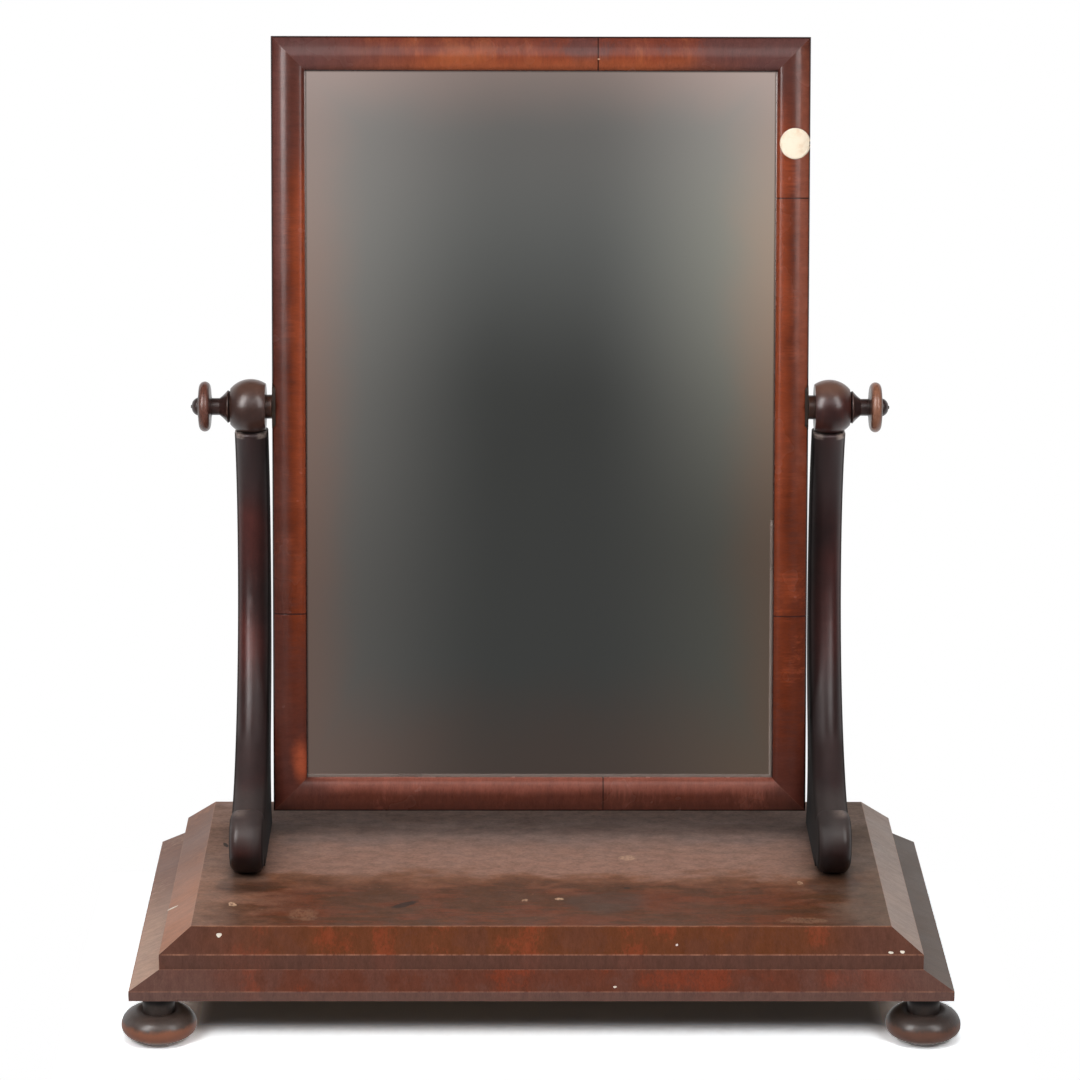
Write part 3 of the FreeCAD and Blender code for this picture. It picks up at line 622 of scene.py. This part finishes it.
# %% Top board
def top_surface():
    side = measure(across_x)
    back = measure(across_y)
    wood = use(grain, place=joined(back, side, 0.0), waviness=0.02)
    cloud = noise(joined(side, back * 2.2), 13.0, 4.0, 0.6).rise(0.34, 0.66)
    shade = cloud * 0.6 + wood["Bands"] * 0.3 + (wood["Streaks"] - 0.5) * 0.35
    red = blend(shade.rise(0.2, 0.75), (84, 50, 28), (104, 52, 26))
    drift = back + (cloud - 0.5) * 0.03
    # Painted glare: a paler band in front of the mirror, where light comes back off the plate
    faded = drift.rise(-0.074, -0.030) * drift.fall(0.08, 0.12)
    faded_tone = blend(drift.rise(-0.045, -0.015), (128, 84, 60), (150, 114, 98))
    base = blend(faded * 0.9, red, faded_tone)
    # Painted light: grey, then pale, further back under the frame, to lighten its shadow
    nearly = back + (cloud - 0.5) * 0.012
    base = blend(nearly.rise(0.026, 0.062, 0.0, 0.9), base, (122, 98, 89))
    base = blend(nearly.rise(0.074, 0.104, 0.0, 0.9), base, (196, 168, 157))
    greyed = (abs(side) + (cloud - 0.5) * 0.05).rise(0.21, 0.28)
    end_tone = blend(side.rise(-0.1, 0.1), (152, 114, 94), (108, 90, 76))
    base = blend(greyed * 0.72, base, end_tone)
    base = blend(wood["Pores"] * 0.3, base, (44, 26, 20))
    specks = noise(here(), 260.0, 2.0, 0.5).rise(0.72, 0.78)
    base = blend(specks * 0.4, base, (160, 124, 98))
    speckle = stretched(joined(side, back), (330.0, 520.0, 1.0))
    base = use(mottled, tone=base, place=speckle, strength=0.55)["Tone"]
    dusty = noise(stretched(here(), (1.0, 0.5, 1.0)), 480.0, 3.0, 0.6).rise(0.34, 0.56, 0.2)
    for kind, centre, size, turn, strength in marks:
        ragged, tone = mark_kinds[kind]
        mark = oval(side, back, centre, size, ragged, turn)
        if kind == "pale":
            mark = mark * dusty
        if kind == "stain":
            etched = mark
        base = blend(mark * strength, base, tone)
    from_arris = length(back - board_low.y, measure(up) - board_high.z)
    broken = noise(joined(side, 4.0), 60.0, 5.0, 0.75).rise(0.3, 0.6, 0.25)
    base = blend(from_arris.fall(0.0004, 0.0016, 0.75) * broken, base, (176, 120, 88))
    # Soiling and painted shade where the board meets other pieces
    base = blend(use(corner_dirt, reach=0.012)["Dirt"] * 0.8, base, (34, 26, 22))
    scuffs = noise(here(), 34.0, 5.0, 0.7).rise(0.3, 0.75, 0.44, 0.58)
    relief = wood["Streaks"] * 0.2 - (wood["Pores"] + etched)
    return {
        "Base Color": base,
        "Roughness": scuffs + back.rise(0.0, 0.09, 0.0, 0.2) - etched * 0.1,
        "Normal": bump(relief, 0.0001, 0.6),
        "Specular IOR Level": 0.25,
    }


give(finish("faded_top_veneer", top_surface), "top_board")

# %% [markdown]
# ## Ebonised and stained turnings
#
# The uprights, balls, collars and knobs are solid mahogany stained nearly black and polished. The stain has
# rubbed through to red-brown on rims and where hands turn the knobs, so the recipe takes how much shows.
# The uprights' sawn sides never got the polish of their rounded fronts, so they are rougher. Some light and
# shade is painted too: shade on the uprights' sawn sides and on their inner halves, which face the frame,
# sheen and shade on the toes, a highlight on the rims of the cups and toes, light on the balls' tops, and
# shade on the feet's necks under the platform.


# %% Dark polished wood
def stained(name, along, across, body, rubbed, rub, gloss=0.28, coat=0.25, shine=0.5, glow=None, handled=None,
            grimy_above=None, sawn_out=None):
    """Dark stained wood. glow is a warmer colour in broad patches; handled() says where it is rubbed bare,
    and on uprights and balls also where light and shade are painted. Above the height grimy_above a foot is
    painted dark, as shade under the platform. sawn_out is for an upright: between which heights it is matt,
    its middle, and which way is outwards; its inner half and the sides left by the saw are painted darker,
    as shade."""
    def surface():
        run = measure(along)
        width = measure(across)
        depth = measure(along.cross(across))
        wood = use(grain, place=joined(width, run, depth))
        base = blend(wood["Bands"] * 0.45, body, rubbed)
        base = blend(wood["Streaks"].rise(0.2, 1.0, 0.65, 0.15), base, body)
        if glow:
            patch = noise(here(), 8.0, 2.0).rise(0.42, 0.6)
            base = blend(patch * measure(up).rise(0.15, 0.22, 0.1, 0.75), base, glow)
        base = use(mottled, tone=base, place=stretched(here(), (420.0, 420.0, 420.0)), strength=0.3)["Tone"]
        for mask, strength, tone in handled() if handled else ():
            base = blend(mask * strength, base, tone)
        base = blend(use(worn_edges, width=0.0012, patchiness=0.7)["Wear"] * rub, base, (170, 128, 104))
        # Soiling and painted shade in corners
        dirt = use(corner_dirt, reach=0.006)["Dirt"]
        base = blend(dirt * 0.7, base, (18, 11, 10))
        rough = noise(here(), 60.0, 4.0, 0.7).rise(0.3, 0.8, gloss, gloss + 0.1) + dirt * 0.25
        if grimy_above:
            # Painted shade on a foot's neck under the platform, which is also made matt
            grime = measure(up).rise(*grimy_above)
            base = blend(grime * 0.85, base, (16, 11, 10))
            rough = rough + grime * 0.4
        if sawn_out:
            low, high, middle, outwards = sawn_out
            height = measure(up)
            matt = height.rise(low - 0.004, low) * height.fall(high, high + 0.015)
            # Painted shade: the inner half, which faces the frame, is darker
            inner = (measure(across_x, middle) * outwards).fall(-0.009, 0.002)
            base = blend(inner * 0.45, base, (20, 12, 12))
            # Painted shade on the sawn sides, which are also rougher
            sawn = abs(parts(true_normal())[0]).rise(0.8, 0.97)
            base = blend(sawn * 0.75, base, (14, 9, 9))
            rough = maths("MULTIPLY_ADD", sawn, 0.65, rough + (matt + inner) * 0.3, clamp=True)
        relief = wood["Streaks"] * 0.2 - wood["Pores"]
        return {
            "Base Color": base,
            "Roughness": rough,
            "Normal": bump(relief, 0.00008, 0.45),
            "Coat Weight": coat,
            "Coat Roughness": 0.2,
            "Specular IOR Level": shine,
        }

    return finish(name, surface)


# %% Where the turned pieces are rubbed
disc_depth = 0.0110
disc_tone = {"left": (112, 66, 52), "right": (158, 104, 78)}


def rubbed_disc(side):
    """The rim of a knob's disc, which is what a hand turns."""
    low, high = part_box(side + "_knob")
    middle = low.x + disc_depth if side == "left" else high.x - disc_depth
    return lambda: [(abs(measure(across_x, middle)).fall(0.002, 0.006), 0.75, disc_tone[side])]


def upright_marks(side):
    """The height of the cup's rim, the foremost point of the toe, and the height of the toe's top."""
    points = [vertex.co for vertex in nodes[side + "_upright"].data.vertices]
    toe_front = min(points, key=lambda point: point.y)
    return max(point.z for point in points), toe_front, 2 * toe_front.z - board_high.z


def rubbed_rim(rim, toe_front, toe_top, middle, outwards):
    """The rim of the cup that holds a ball, pale at both sides, and the top of the toe: rubbed wood and a
    painted highlight. Also a greyer neck, a darker shank, painted sheen on the toe's roll and painted shade
    below it.
    """
    def mask():
        across = measure(across_x, middle)
        height = measure(up)
        # Rubbed wood and a painted highlight on the cup's rim and the toe's top
        at_rim = height.rise(rim - 0.0055, rim - 0.0035) * abs(across).rise(0.004, 0.009)
        at_toe = abs(height - toe_top).fall(0.0, 0.004) * (across * outwards).rise(-0.004, 0.010)
        at_toe = at_toe * measure(across_y).fall(toe_front.y + 0.03, toe_front.y + 0.04, 0.6)
        broken = noise(here(), 160.0, 4.0, 0.7).rise(0.3, 0.55, 0.3)
        worn = maths("MAXIMUM", at_rim, at_toe) * broken
        # Painted sheen on the toe's roll
        roll = height.rise(toe_front.z - 0.006, toe_front.z + 0.014) * height.fall(toe_top, toe_top + 0.012)
        # Painted shade below the toe's front
        below = height.fall(toe_front.z - 0.008, toe_front.z + 0.002)
        neck = height.rise(rim - 0.085, rim - 0.045)
        shank = height.rise(toe_top + 0.005, toe_top + 0.02) * height.fall(toe_top + 0.06, toe_top + 0.12)
        return [(neck, 0.6, (58, 47, 47)), (shank, 0.75, (38, 20, 18)),
                (roll, 0.6, (68, 60, 57)), (below, 0.85, (26, 16, 16)),
                (worn, 0.8, (176, 156, 146))]

    return mask


def rubbed_foot(strength):
    """The lower half of a bun foot, scuffed back to the wood, with a turned line near its base."""
    def mask():
        height = measure(up)
        low = (height + (noise(here(), 90.0, 4.0, 0.65) - 0.5) * 0.008).fall(0.0150, 0.0195)
        line = abs(height - 0.0026).rise(0.0003, 0.0008)
        return [(low * line, strength, (146, 88, 62))]

    return mask


def pale_crown(side, strength):
    """The top of a ball, painted paler as light from above shows it."""
    ball_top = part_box(side + "_ball")[1].z
    return lambda: [(measure(up).rise(ball_top - 0.014, ball_top - 0.002), strength, (122, 90, 76))]


def stain(piece, along, across, body, rubbed, **settings):
    """Gives one piece a stain of its own."""
    give(stained(piece + "_stain", along, across, body, rubbed, **settings), piece)


turned_tones = {
    "left": {"upright": ((46, 24, 23), (78, 36, 31)), "glow": (92, 40, 34),
             "ball": ((57, 36, 31), (80, 52, 42)), "crown": 0.45, "outwards": -1},
    "right": {"upright": ((34, 18, 18), (58, 28, 25)), "glow": (66, 30, 27),
              "ball": ((49, 21, 19), (86, 40, 29)), "crown": 0.8, "outwards": 1},
}
for side, tones in turned_tones.items():
    rim, toe_front, toe_top = upright_marks(side)
    low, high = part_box(side + "_upright")
    sides = ((low.x + high.x) / 2, tones["outwards"])
    stain(side + "_upright", up, across_x, *tones["upright"], glow=tones["glow"], rub=0.35, gloss=0.3,
          coat=0.0, shine=0.38, sawn_out=(toe_top - 0.006, toe_top + 0.03, *sides),
          handled=rubbed_rim(rim, toe_front, toe_top, *sides))
    stain(side + "_ball", up, across_x, *tones["ball"], rub=0.3, handled=pale_crown(side, tones["crown"]))
    stain(side + "_knob", across_x, across_y, (46, 30, 28), (84, 50, 42), rub=0.45, gloss=0.3,
          handled=rubbed_disc(side))
give(stained("collar_stain", across_x, across_y, (62, 36, 26), (86, 50, 36), rub=0.2),
     "left_collar", "right_collar")
foot_tones = {"front_left": ((72, 61, 56), 0.8), "front_right": ((58, 49, 45), 0.35),
              "back_left": ((58, 49, 45), 0.3), "back_right": ((58, 49, 45), 0.3)}
for corner, (body, strength) in foot_tones.items():
    stain(corner + "_foot", up, across_x, body, (82, 60, 52), rub=0.3, gloss=0.36, shine=0.35,
          handled=rubbed_foot(strength), grimy_above=(0.031, 0.036))

# %% [markdown]
# ## Softwood behind and below
#
# What nobody was meant to see is pine: the boards inside the platform, the backboard, and the blocks that
# wedge the plate. It was planed and left bare, and has gone brown. The dowels in the balls are beech.


# %% Bare softwood and beech
def bare(name, along, across, pale, brown, line, rough):
    """Planed wood with no finish, and soft dark growth rings."""
    def surface():
        run = measure(along)
        width = measure(across)
        depth = measure(along.cross(across))
        wood = use(grain, place=joined(width, run, depth), waviness=0.03)
        rings = noise(joined(width * 60.0, run * 1.6, depth), 1.0, 2.0, 0.5, 0.4) * 34.0
        base = blend(maths("SINE", rings).rise(-0.4, 1.0, 0.0, 0.55), pale, brown)
        base = blend(wood["Streaks"] * 0.4, base, brown)
        base = blend(wood["Pores"] * 0.25, base, line)
        grime = noise(here(), 7.0, 5.0, 0.6).rise(0.42, 0.75)
        base = blend(grime * 0.45, base, line)
        # Soiling and painted shade in corners
        base = blend(use(corner_dirt, reach=0.02)["Dirt"] * 0.6, base, line)
        height = wood["Streaks"] * 0.6 - wood["Pores"]
        return {
            "Base Color": base,
            "Roughness": rough + wood["Streaks"] * 0.15,
            "Normal": bump(height, 0.00018, 0.8),
        }

    return finish(name, surface)


pine_tones = ((176, 132, 88), (128, 86, 52), (70, 46, 30))
give(bare("planed_pine", across_x, across_y, *pine_tones, rough=0.62), "lower_board", "upper_core")
give(bare("aged_backboard_pine", up_frame, across_x, (150, 106, 66), (104, 68, 42), (54, 36, 25),
          rough=0.6), "backboard")
give(bare("block_pine", across_x, across_y, *pine_tones, rough=0.65), "glazing_blocks")
give(bare("turned_beech", up, across_x, (196, 160, 118), (160, 118, 80), (110, 76, 48), rough=0.5),
     "ball_dowels")

# %% [markdown]
# ## The plate
#
# Old silvering is a mirror with a very slight haze. Its cast isn't even: the middle is a greenish grey, and
# a hand's width of the margin has gone warm, where damp has crept in under the backing paint. A rougher
# mirror would hide more of the room, but it would look like brushed metal, so the haze stays small. A pale
# line along the bottom edge and the lower half of the right edge is a painted reflection of the frame's
# inner edge.


# %% Silvered plate
def plate_surface():
    height = measure(up_frame, pivot.dot(up_frame))
    above_edge = (height - sight_bottom) * 0.5
    in_height = maths("MINIMUM", sight_top - height, above_edge)
    inwards = maths("MINIMUM", sight_side - abs(measure(across_x)), in_height)
    creep = noise(here(), 14.0, 4.0, 0.6)
    margin = (inwards + (creep - 0.5) * 0.03).fall(0.0, 0.055)
    rim = inwards.fall(0.0, 0.0016)
    haze = noise(here(), 6.0)
    warm = blend(height.rise(0.0, sight_top), (254, 218, 206), (248, 228, 222))
    tint = blend(margin * 0.85, (224, 223, 222), warm)
    # Painted reflection of the frame's inner edge: a pale line along the bottom and the lower right side
    not_low = height.rise(mid_height - 0.08, mid_height - 0.05)
    low_right = maths("MAXIMUM", sight_side - measure(across_x), not_low)
    bare_edge = maths("MINIMUM", above_edge * 2.0, low_right)
    gone = bare_edge.fall(0.0016, 0.0030) * creep.rise(0.3, 0.5, 0.5)
    tint = blend(gone * 0.7, tint, (170, 160, 152))
    tint = blend(rim * 0.5, tint, (120, 108, 100))
    rough = haze.rise(0.3, 0.7, 0.035, 0.06) + rim * 0.1
    return {"Base Color": tint, "Metallic": 1.0 - gone * 0.4, "Roughness": rough}


give(finish("silvered_plate", plate_surface), "mirror_plate")

# %% [markdown]
# ## Metal
#
# The nut plates are brass gone brown, and the screws are iron, blued by age with rust in their slots. Both
# are metals with a rougher, darker oxide over them, so one recipe mixes metal and oxide by a mask.


# %% Old metal
def old_metal(name, bright, oxide, rough, spread):
    """Metal whose oxide covers it in patches and gathers in corners."""
    def surface():
        patch = noise(here(), 320.0, 5.0, 0.65)
        dirt = use(corner_dirt, reach=0.002)["Dirt"]
        cover = maths("MAXIMUM", patch.rise(0.62 - spread, 0.8 - spread), dirt)
        wear = use(worn_edges, width=0.0003, patchiness=0.4)["Wear"]
        cover = maths("MULTIPLY", cover, 1.0 - wear, clamp=True)
        return {
            "Base Color": blend(cover, bright, oxide),
            "Metallic": cover.rise(0.0, 1.0, 1.0, 0.45),
            "Roughness": cover.rise(0.0, 1.0, rough, 0.68),
            "Normal": bump(patch, 0.00005, 0.5),
        }

    return finish(name, surface)


give(old_metal("browned_brass", (92, 70, 44), (44, 32, 25), rough=0.45, spread=0.36),
     "left_nut_plate", "right_nut_plate")
give(old_metal("blued_iron", (120, 116, 112), (58, 44, 38), rough=0.36, spread=0.18), "backboard_screws",
     "board_screws", "upright_screws", "nut_plate_screws", "left_pivot_screw", "right_pivot_screw")
print(len(finished), "pieces of", len(nodes), "finished; left:", sorted(set(nodes) - finished))

# %% [markdown]
# ## A paper dot and a few spots of paint
#
# A round paper sticker sits on the right stile. Paper bends one way only, so the dot is laid on the
# moulding by dropping each of its points onto the solid. The spots of white paint are flattened drops, set
# the same way.


# %% Laying things on the solids
def surface_of(*pieces):
    """A tree for finding the surface of fixed pieces with a ray."""
    shape = bmesh.new()
    for piece in pieces:
        shape.from_mesh(nodes[piece].data)
    return BVHTree.FromBMesh(shape)


def new_object(name, shape, material):
    """An object from a bmesh, with a finish."""
    mesh = bpy.data.meshes.new(name)
    shape.to_mesh(mesh)
    shape.free()
    mesh.materials.append(material)
    return in_scene(name, mesh)


def new_piece(name, shape, material, body):
    """A smooth object that rides on a body."""
    piece = new_object(name, shape, material)
    piece.data.shade_smooth()
    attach(piece, body)
    return piece


# %% Paper dot
def paper_surface():
    fibres = noise(here(), 900.0, 5.0, 0.7)
    foxing = noise(here(), 150.0, 4.0, 0.6).rise(0.45, 0.75)
    base = blend(foxing * 0.5, (250, 232, 208), (226, 190, 150))
    return {"Base Color": base, "Roughness": 0.75, "Normal": bump(fibres, 0.00003, 0.6)}


dot_radius = 0.0130
dot_across = 0.2140
dot_up = 0.2225
dot_lift = 0.00018
dot_thickness = 0.00012
moulding = surface_of("frame_right_stile")
dot = bmesh.new()
rings = 10
spokes = 64
rows = []
for ring in range(rings + 1):
    row = []
    for spoke in range(spokes if ring else 1):
        turn = 2 * math.pi * spoke / spokes
        wobble = 1.0 + 0.006 * math.sin(3 * turn + 1.0)
        away = dot_radius * wobble * ring / rings
        start = pivot + across_x * (dot_across + away * math.cos(turn))
        start = start + up_frame * (dot_up + away * math.sin(turn))
        hit, normal = moulding.ray_cast(start + out_of_frame * 0.05, -out_of_frame)[:2]
        if hit is None:
            hit, normal = moulding.find_nearest(start + out_of_frame * 0.006)[:2]
        row.append(dot.verts.new(hit + normal * dot_lift))
    rows.append(row)
for spoke in range(spokes):
    after = (spoke + 1) % spokes
    dot.faces.new((rows[0][0], rows[1][spoke], rows[1][after]))
    for ring in range(1, rings):
        dot.faces.new((rows[ring][spoke], rows[ring + 1][spoke], rows[ring + 1][after], rows[ring][after]))
dot_piece = new_piece("paper_dot", dot, finish("sticker_paper", paper_surface), "mirror")
thickness = dot_piece.modifiers.new("paper", "SOLIDIFY")
thickness.thickness = dot_thickness
thickness.offset = -1.0


# %% Old white paint
def paint_surface():
    cloud = noise(here(), 700.0)
    base = blend(cloud.rise(0.35, 0.7, 0.0, 0.5), (236, 226, 212), (196, 178, 156))
    return {"Base Color": base, "Roughness": 0.55, "Normal": bump(cloud, 0.00005, 0.5)}


# %% Spots of paint, laid where a point seen from above meets the platform
platform = surface_of("top_board", *(f"{tier}_{side}_moulding" for tier in ("upper", "lower")
                                     for side in ("front", "left", "right")))
drop_thickness = 0.0003


def drop(shape, x, y, width, depth, turn):
    """Adds a flattened, slightly lobed drop to a shape."""
    hit, normal = platform.ray_cast(Vector((x, y, 0.3)), -up)[:2]
    stand = normal.to_track_quat("Z", "Y").to_matrix().to_4x4()
    flat = Matrix.Diagonal((width / 2, depth / 2, drop_thickness, 1.0))
    laid = Matrix.Translation(hit) @ stand @ Matrix.Rotation(math.radians(turn), 4, "Z") @ flat
    for vertex in bmesh.ops.create_icosphere(shape, subdivisions=3, radius=1.0)["verts"]:
        lobes = math.sin(3.0 * vertex.co.x + 90.0 * x) * math.cos(2.0 * vertex.co.y + 70.0 * y)
        vertex.co = laid @ (vertex.co * (1.0 + 0.16 * lobes))


# Place, width, depth, and turn in degrees
drops = [
    (-0.2604, -0.1535, 0.0042, 0.0044, 0.0),
    (0.2813, -0.1683, 0.0042, 0.0024, 0.0),
    (0.2907, -0.1678, 0.0040, 0.0030, 0.0),
    (0.1091, -0.1619, 0.0019, 0.0022, 0.0),
    (-0.3045, -0.0735, 0.0030, 0.0110, -15.0),
    (0.0586, -0.1883, 0.0026, 0.0022, 0.0),
]
spots = bmesh.new()
for values in drops:
    drop(spots, *values)
new_piece("paint_spots", spots, finish("old_white_paint", paint_surface), "stand")

# %% [markdown]
# ## A small white studio
#
# Two soft lamps stand in front and a long one hangs above; the left one is the strongest. They give the
# light, and three panels give only the highlights along the moulding and the uprights, because one set of
# lamps can't put both where they belong. The sweep behind is white where the camera and polished surfaces
# see it, but lights the mirror only gently.


# %% Lamps
def soft_lamp(name, azimuth, elevation, width, height, level, seen):
    """A rectangular lamp. Azimuth 0 is in front, 90 is to the right; level 1 shows a colour as written.
    One that only gives highlights fades out towards its edges, like diffusing cloth."""
    a, e = math.radians(azimuth), math.radians(elevation)
    towards = Vector((math.sin(a) * math.cos(e), -math.cos(a) * math.cos(e), math.sin(e)))
    data = bpy.data.lights.new(name, "AREA")
    data.shape = "RECTANGLE"
    data.size = width
    data.size_y = height
    data.energy = level * math.pi**2 * lamp_distance**2
    if seen == "glossy":
        data.use_nodes = True
        fill(data.node_tree)
        x, y, _ = parts(out("NewGeometry", output="Parametric"))
        fade = abs(x - 0.5).fall(0.15, 0.5) * abs(y - 0.5).fall(0.3, 0.5)
        add("OutputLight", {"Surface": out("Emission", {"Strength": fade})})
    lamp = in_scene(name, data)
    lamp.location = lamp_target + towards * lamp_distance
    lamp.rotation_euler = towards.to_track_quat("Z", "Y").to_euler()
    lamp.visible_glossy = seen != "diffuse"
    lamp.visible_diffuse = seen != "glossy"


lamp_target = Vector((0.0, 0.0, 0.35))
lamp_distance = 2.6
# Azimuth, elevation, width, height and level
soft_lamp("left_soft_lamp", -33, 32, 1.0, 1.0, 0.41, "diffuse")
soft_lamp("right_soft_lamp", 33, 32, 1.0, 1.0, 0.32, "diffuse")
soft_lamp("overhead_lamp", 0, 62, 1.8, 0.7, 0.36, "diffuse")
soft_lamp("overhead_highlight_panel", 0, 44, 2.6, 1.3, 0.20, "glossy")
soft_lamp("left_highlight_panel", -45, 34, 1.3, 2.4, 1.7, "glossy")
soft_lamp("right_highlight_panel", 45, 34, 1.3, 2.4, 0.95, "glossy")

# %% World: white behind, dark in front
world = bpy.data.worlds.new("white_studio")
bpy.context.scene.world = world
world.use_nodes = True
fill(world.node_tree)
x, y, z = parts(out("TexCoord", output="Generated"))
path = all_of(add("LightPath"))
behind = y.rise(-0.2, 0.3) * z.fall(0.4, 0.8)
backdrop = blend(x.rise(-0.8, 0.8), grey(0.95), grey(0.75))
glossy = blend(behind, (0.03, 0.032, 0.03, 1.0), backdrop)
seen = blend(path["Is Glossy Ray"], grey(0.14), glossy)
seen = blend(maths("MAXIMUM", path["Is Camera Ray"], path["Is Transmission Ray"]), seen, grey(1.0))
add("OutputWorld", {"Surface": out("Background", {"Color": seen, "Strength": 1.0})})
print("world", world.name)


# %% Studio surfaces: seen, but no part of the mirror
def stage_piece(name, shape, place, shader):
    """A surface of the studio that looks as shader() says."""
    piece = new_object(name, shape, new_material(name, shader))
    piece.location = place


# %% [markdown]
# ## The room in the glass
#
# The plate leans back, so it shows what is behind and above the camera. In a studio that is an unlit room:
# dim and greenish in the middle, paler towards both sides and the top where the lamps' light spills. A real
# room could be modelled, but all that reaches the eye is this soft gradient, so a far wall carries it and
# only polished surfaces see it.


# %% Dim wall
wall_middle = Vector((0.065, -7.0, 1.42))
wall_reach = Vector((0.615, 0.93))


def wall_shader():
    sideways = measure(across_x) / wall_reach.x
    height = measure(up) / wall_reach.y
    right = sideways.rise(-0.4, 0.4)
    away = abs(sideways)
    aside = away.rise(0.15, 1.05) * away.fall(1.3, 2.4)
    above = height.rise(0.0, 0.8, 0.0, 0.11)
    top = height.rise(0.8, 1.1, 0.0, 0.09)
    spill_left = height.rise(-0.6, 0.35, 0.068, 0.16)
    spill_right = height.rise(-0.42, 0.45, 0.038, 0.225)
    spill = spill_left + (spill_right - spill_left) * right
    level = above + top + 0.062 + aside * spill
    aside_tone = blend(right, (1.04, 1.0, 0.94, 1.0), (1.04, 1.03, 0.88, 1.0))
    tone = blend(aside, (0.98, 1.02, 0.99, 1.0), aside_tone)
    tone = blend(height.rise(0.45, 1.1), tone, (1.05, 0.98, 0.94, 1.0))
    glow = out("Emission", {"Color": tone, "Strength": level})
    polished = out("LightPath", output="Is Glossy Ray")
    return out("MixShader", {0: polished, 1: out("BsdfTransparent"), 2: glow})


wall = bmesh.new()
wall_outline = ((-6.0, -1.4), (6.0, -1.4), (6.0, 4.6), (-6.0, 4.6))
wall.faces.new([wall.verts.new((x, 0.0, z)) for x, z in wall_outline])
stage_piece("dim_wall", wall, wall_middle, wall_shader)


# %% [markdown]
# ## The floor
#
# A white sweep holds a soft shadow under the platform and none beyond it. A plain white floor would throw
# light up into the undersides and leave a grey ring round the feet, so it is less white to bounced light
# than to the eye. Under the platform it is painted darker and cooler to the eye, as shadow.


# %% White floor
white_to_light = 0.7


def floor_shader():
    middle_y = (platform_low.y + board_high.y) / 2
    half_depth = (board_high.y - platform_low.y) / 2
    side = abs(measure(across_x)) - platform_high.x
    end = abs(measure(across_y) - middle_y) - half_depth
    outside = maths("MAXIMUM", side, end)
    path = all_of(add("LightPath"))
    # Painted shadow: far darker to the eye under the platform than the white around it
    white = outside.rise(-0.062, -0.034, 0.44, 2.3)
    tone = white_to_light + path["Is Camera Ray"] * (white - white_to_light)
    # Painted shadow colour: a little cooler under the platform
    warm_less = tone * outside.rise(-0.08, -0.02, 0.85, 0.96)
    cool_more = tone * outside.rise(-0.08, -0.02, 1.15, 1.02)
    matt = out("BsdfDiffuse", {"Color": joined(warm_less, tone, cool_more)})
    far = outside.rise(0.0, 0.06) * path["Is Camera Ray"]
    unlit = maths("MAXIMUM", far, maths("MAXIMUM", path["Is Glossy Ray"], path["Is Transmission Ray"]))
    in_front = measure(across_y).rise(-0.5, 0.3, 0.2, 0.95)
    level = 1.0 + path["Is Glossy Ray"] * (in_front - 1.0)
    glow = out("Emission", {"Color": grey(1.0), "Strength": level})
    return out("MixShader", {0: unlit, 1: matt, 2: glow})


sweep = bmesh.new()
bmesh.ops.create_circle(sweep, cap_ends=True, segments=96, radius=14.0)
just_below_feet = Vector((0.0, 0.0, -0.0002))
stage_piece("floor", sweep, just_below_feet, floor_shader)
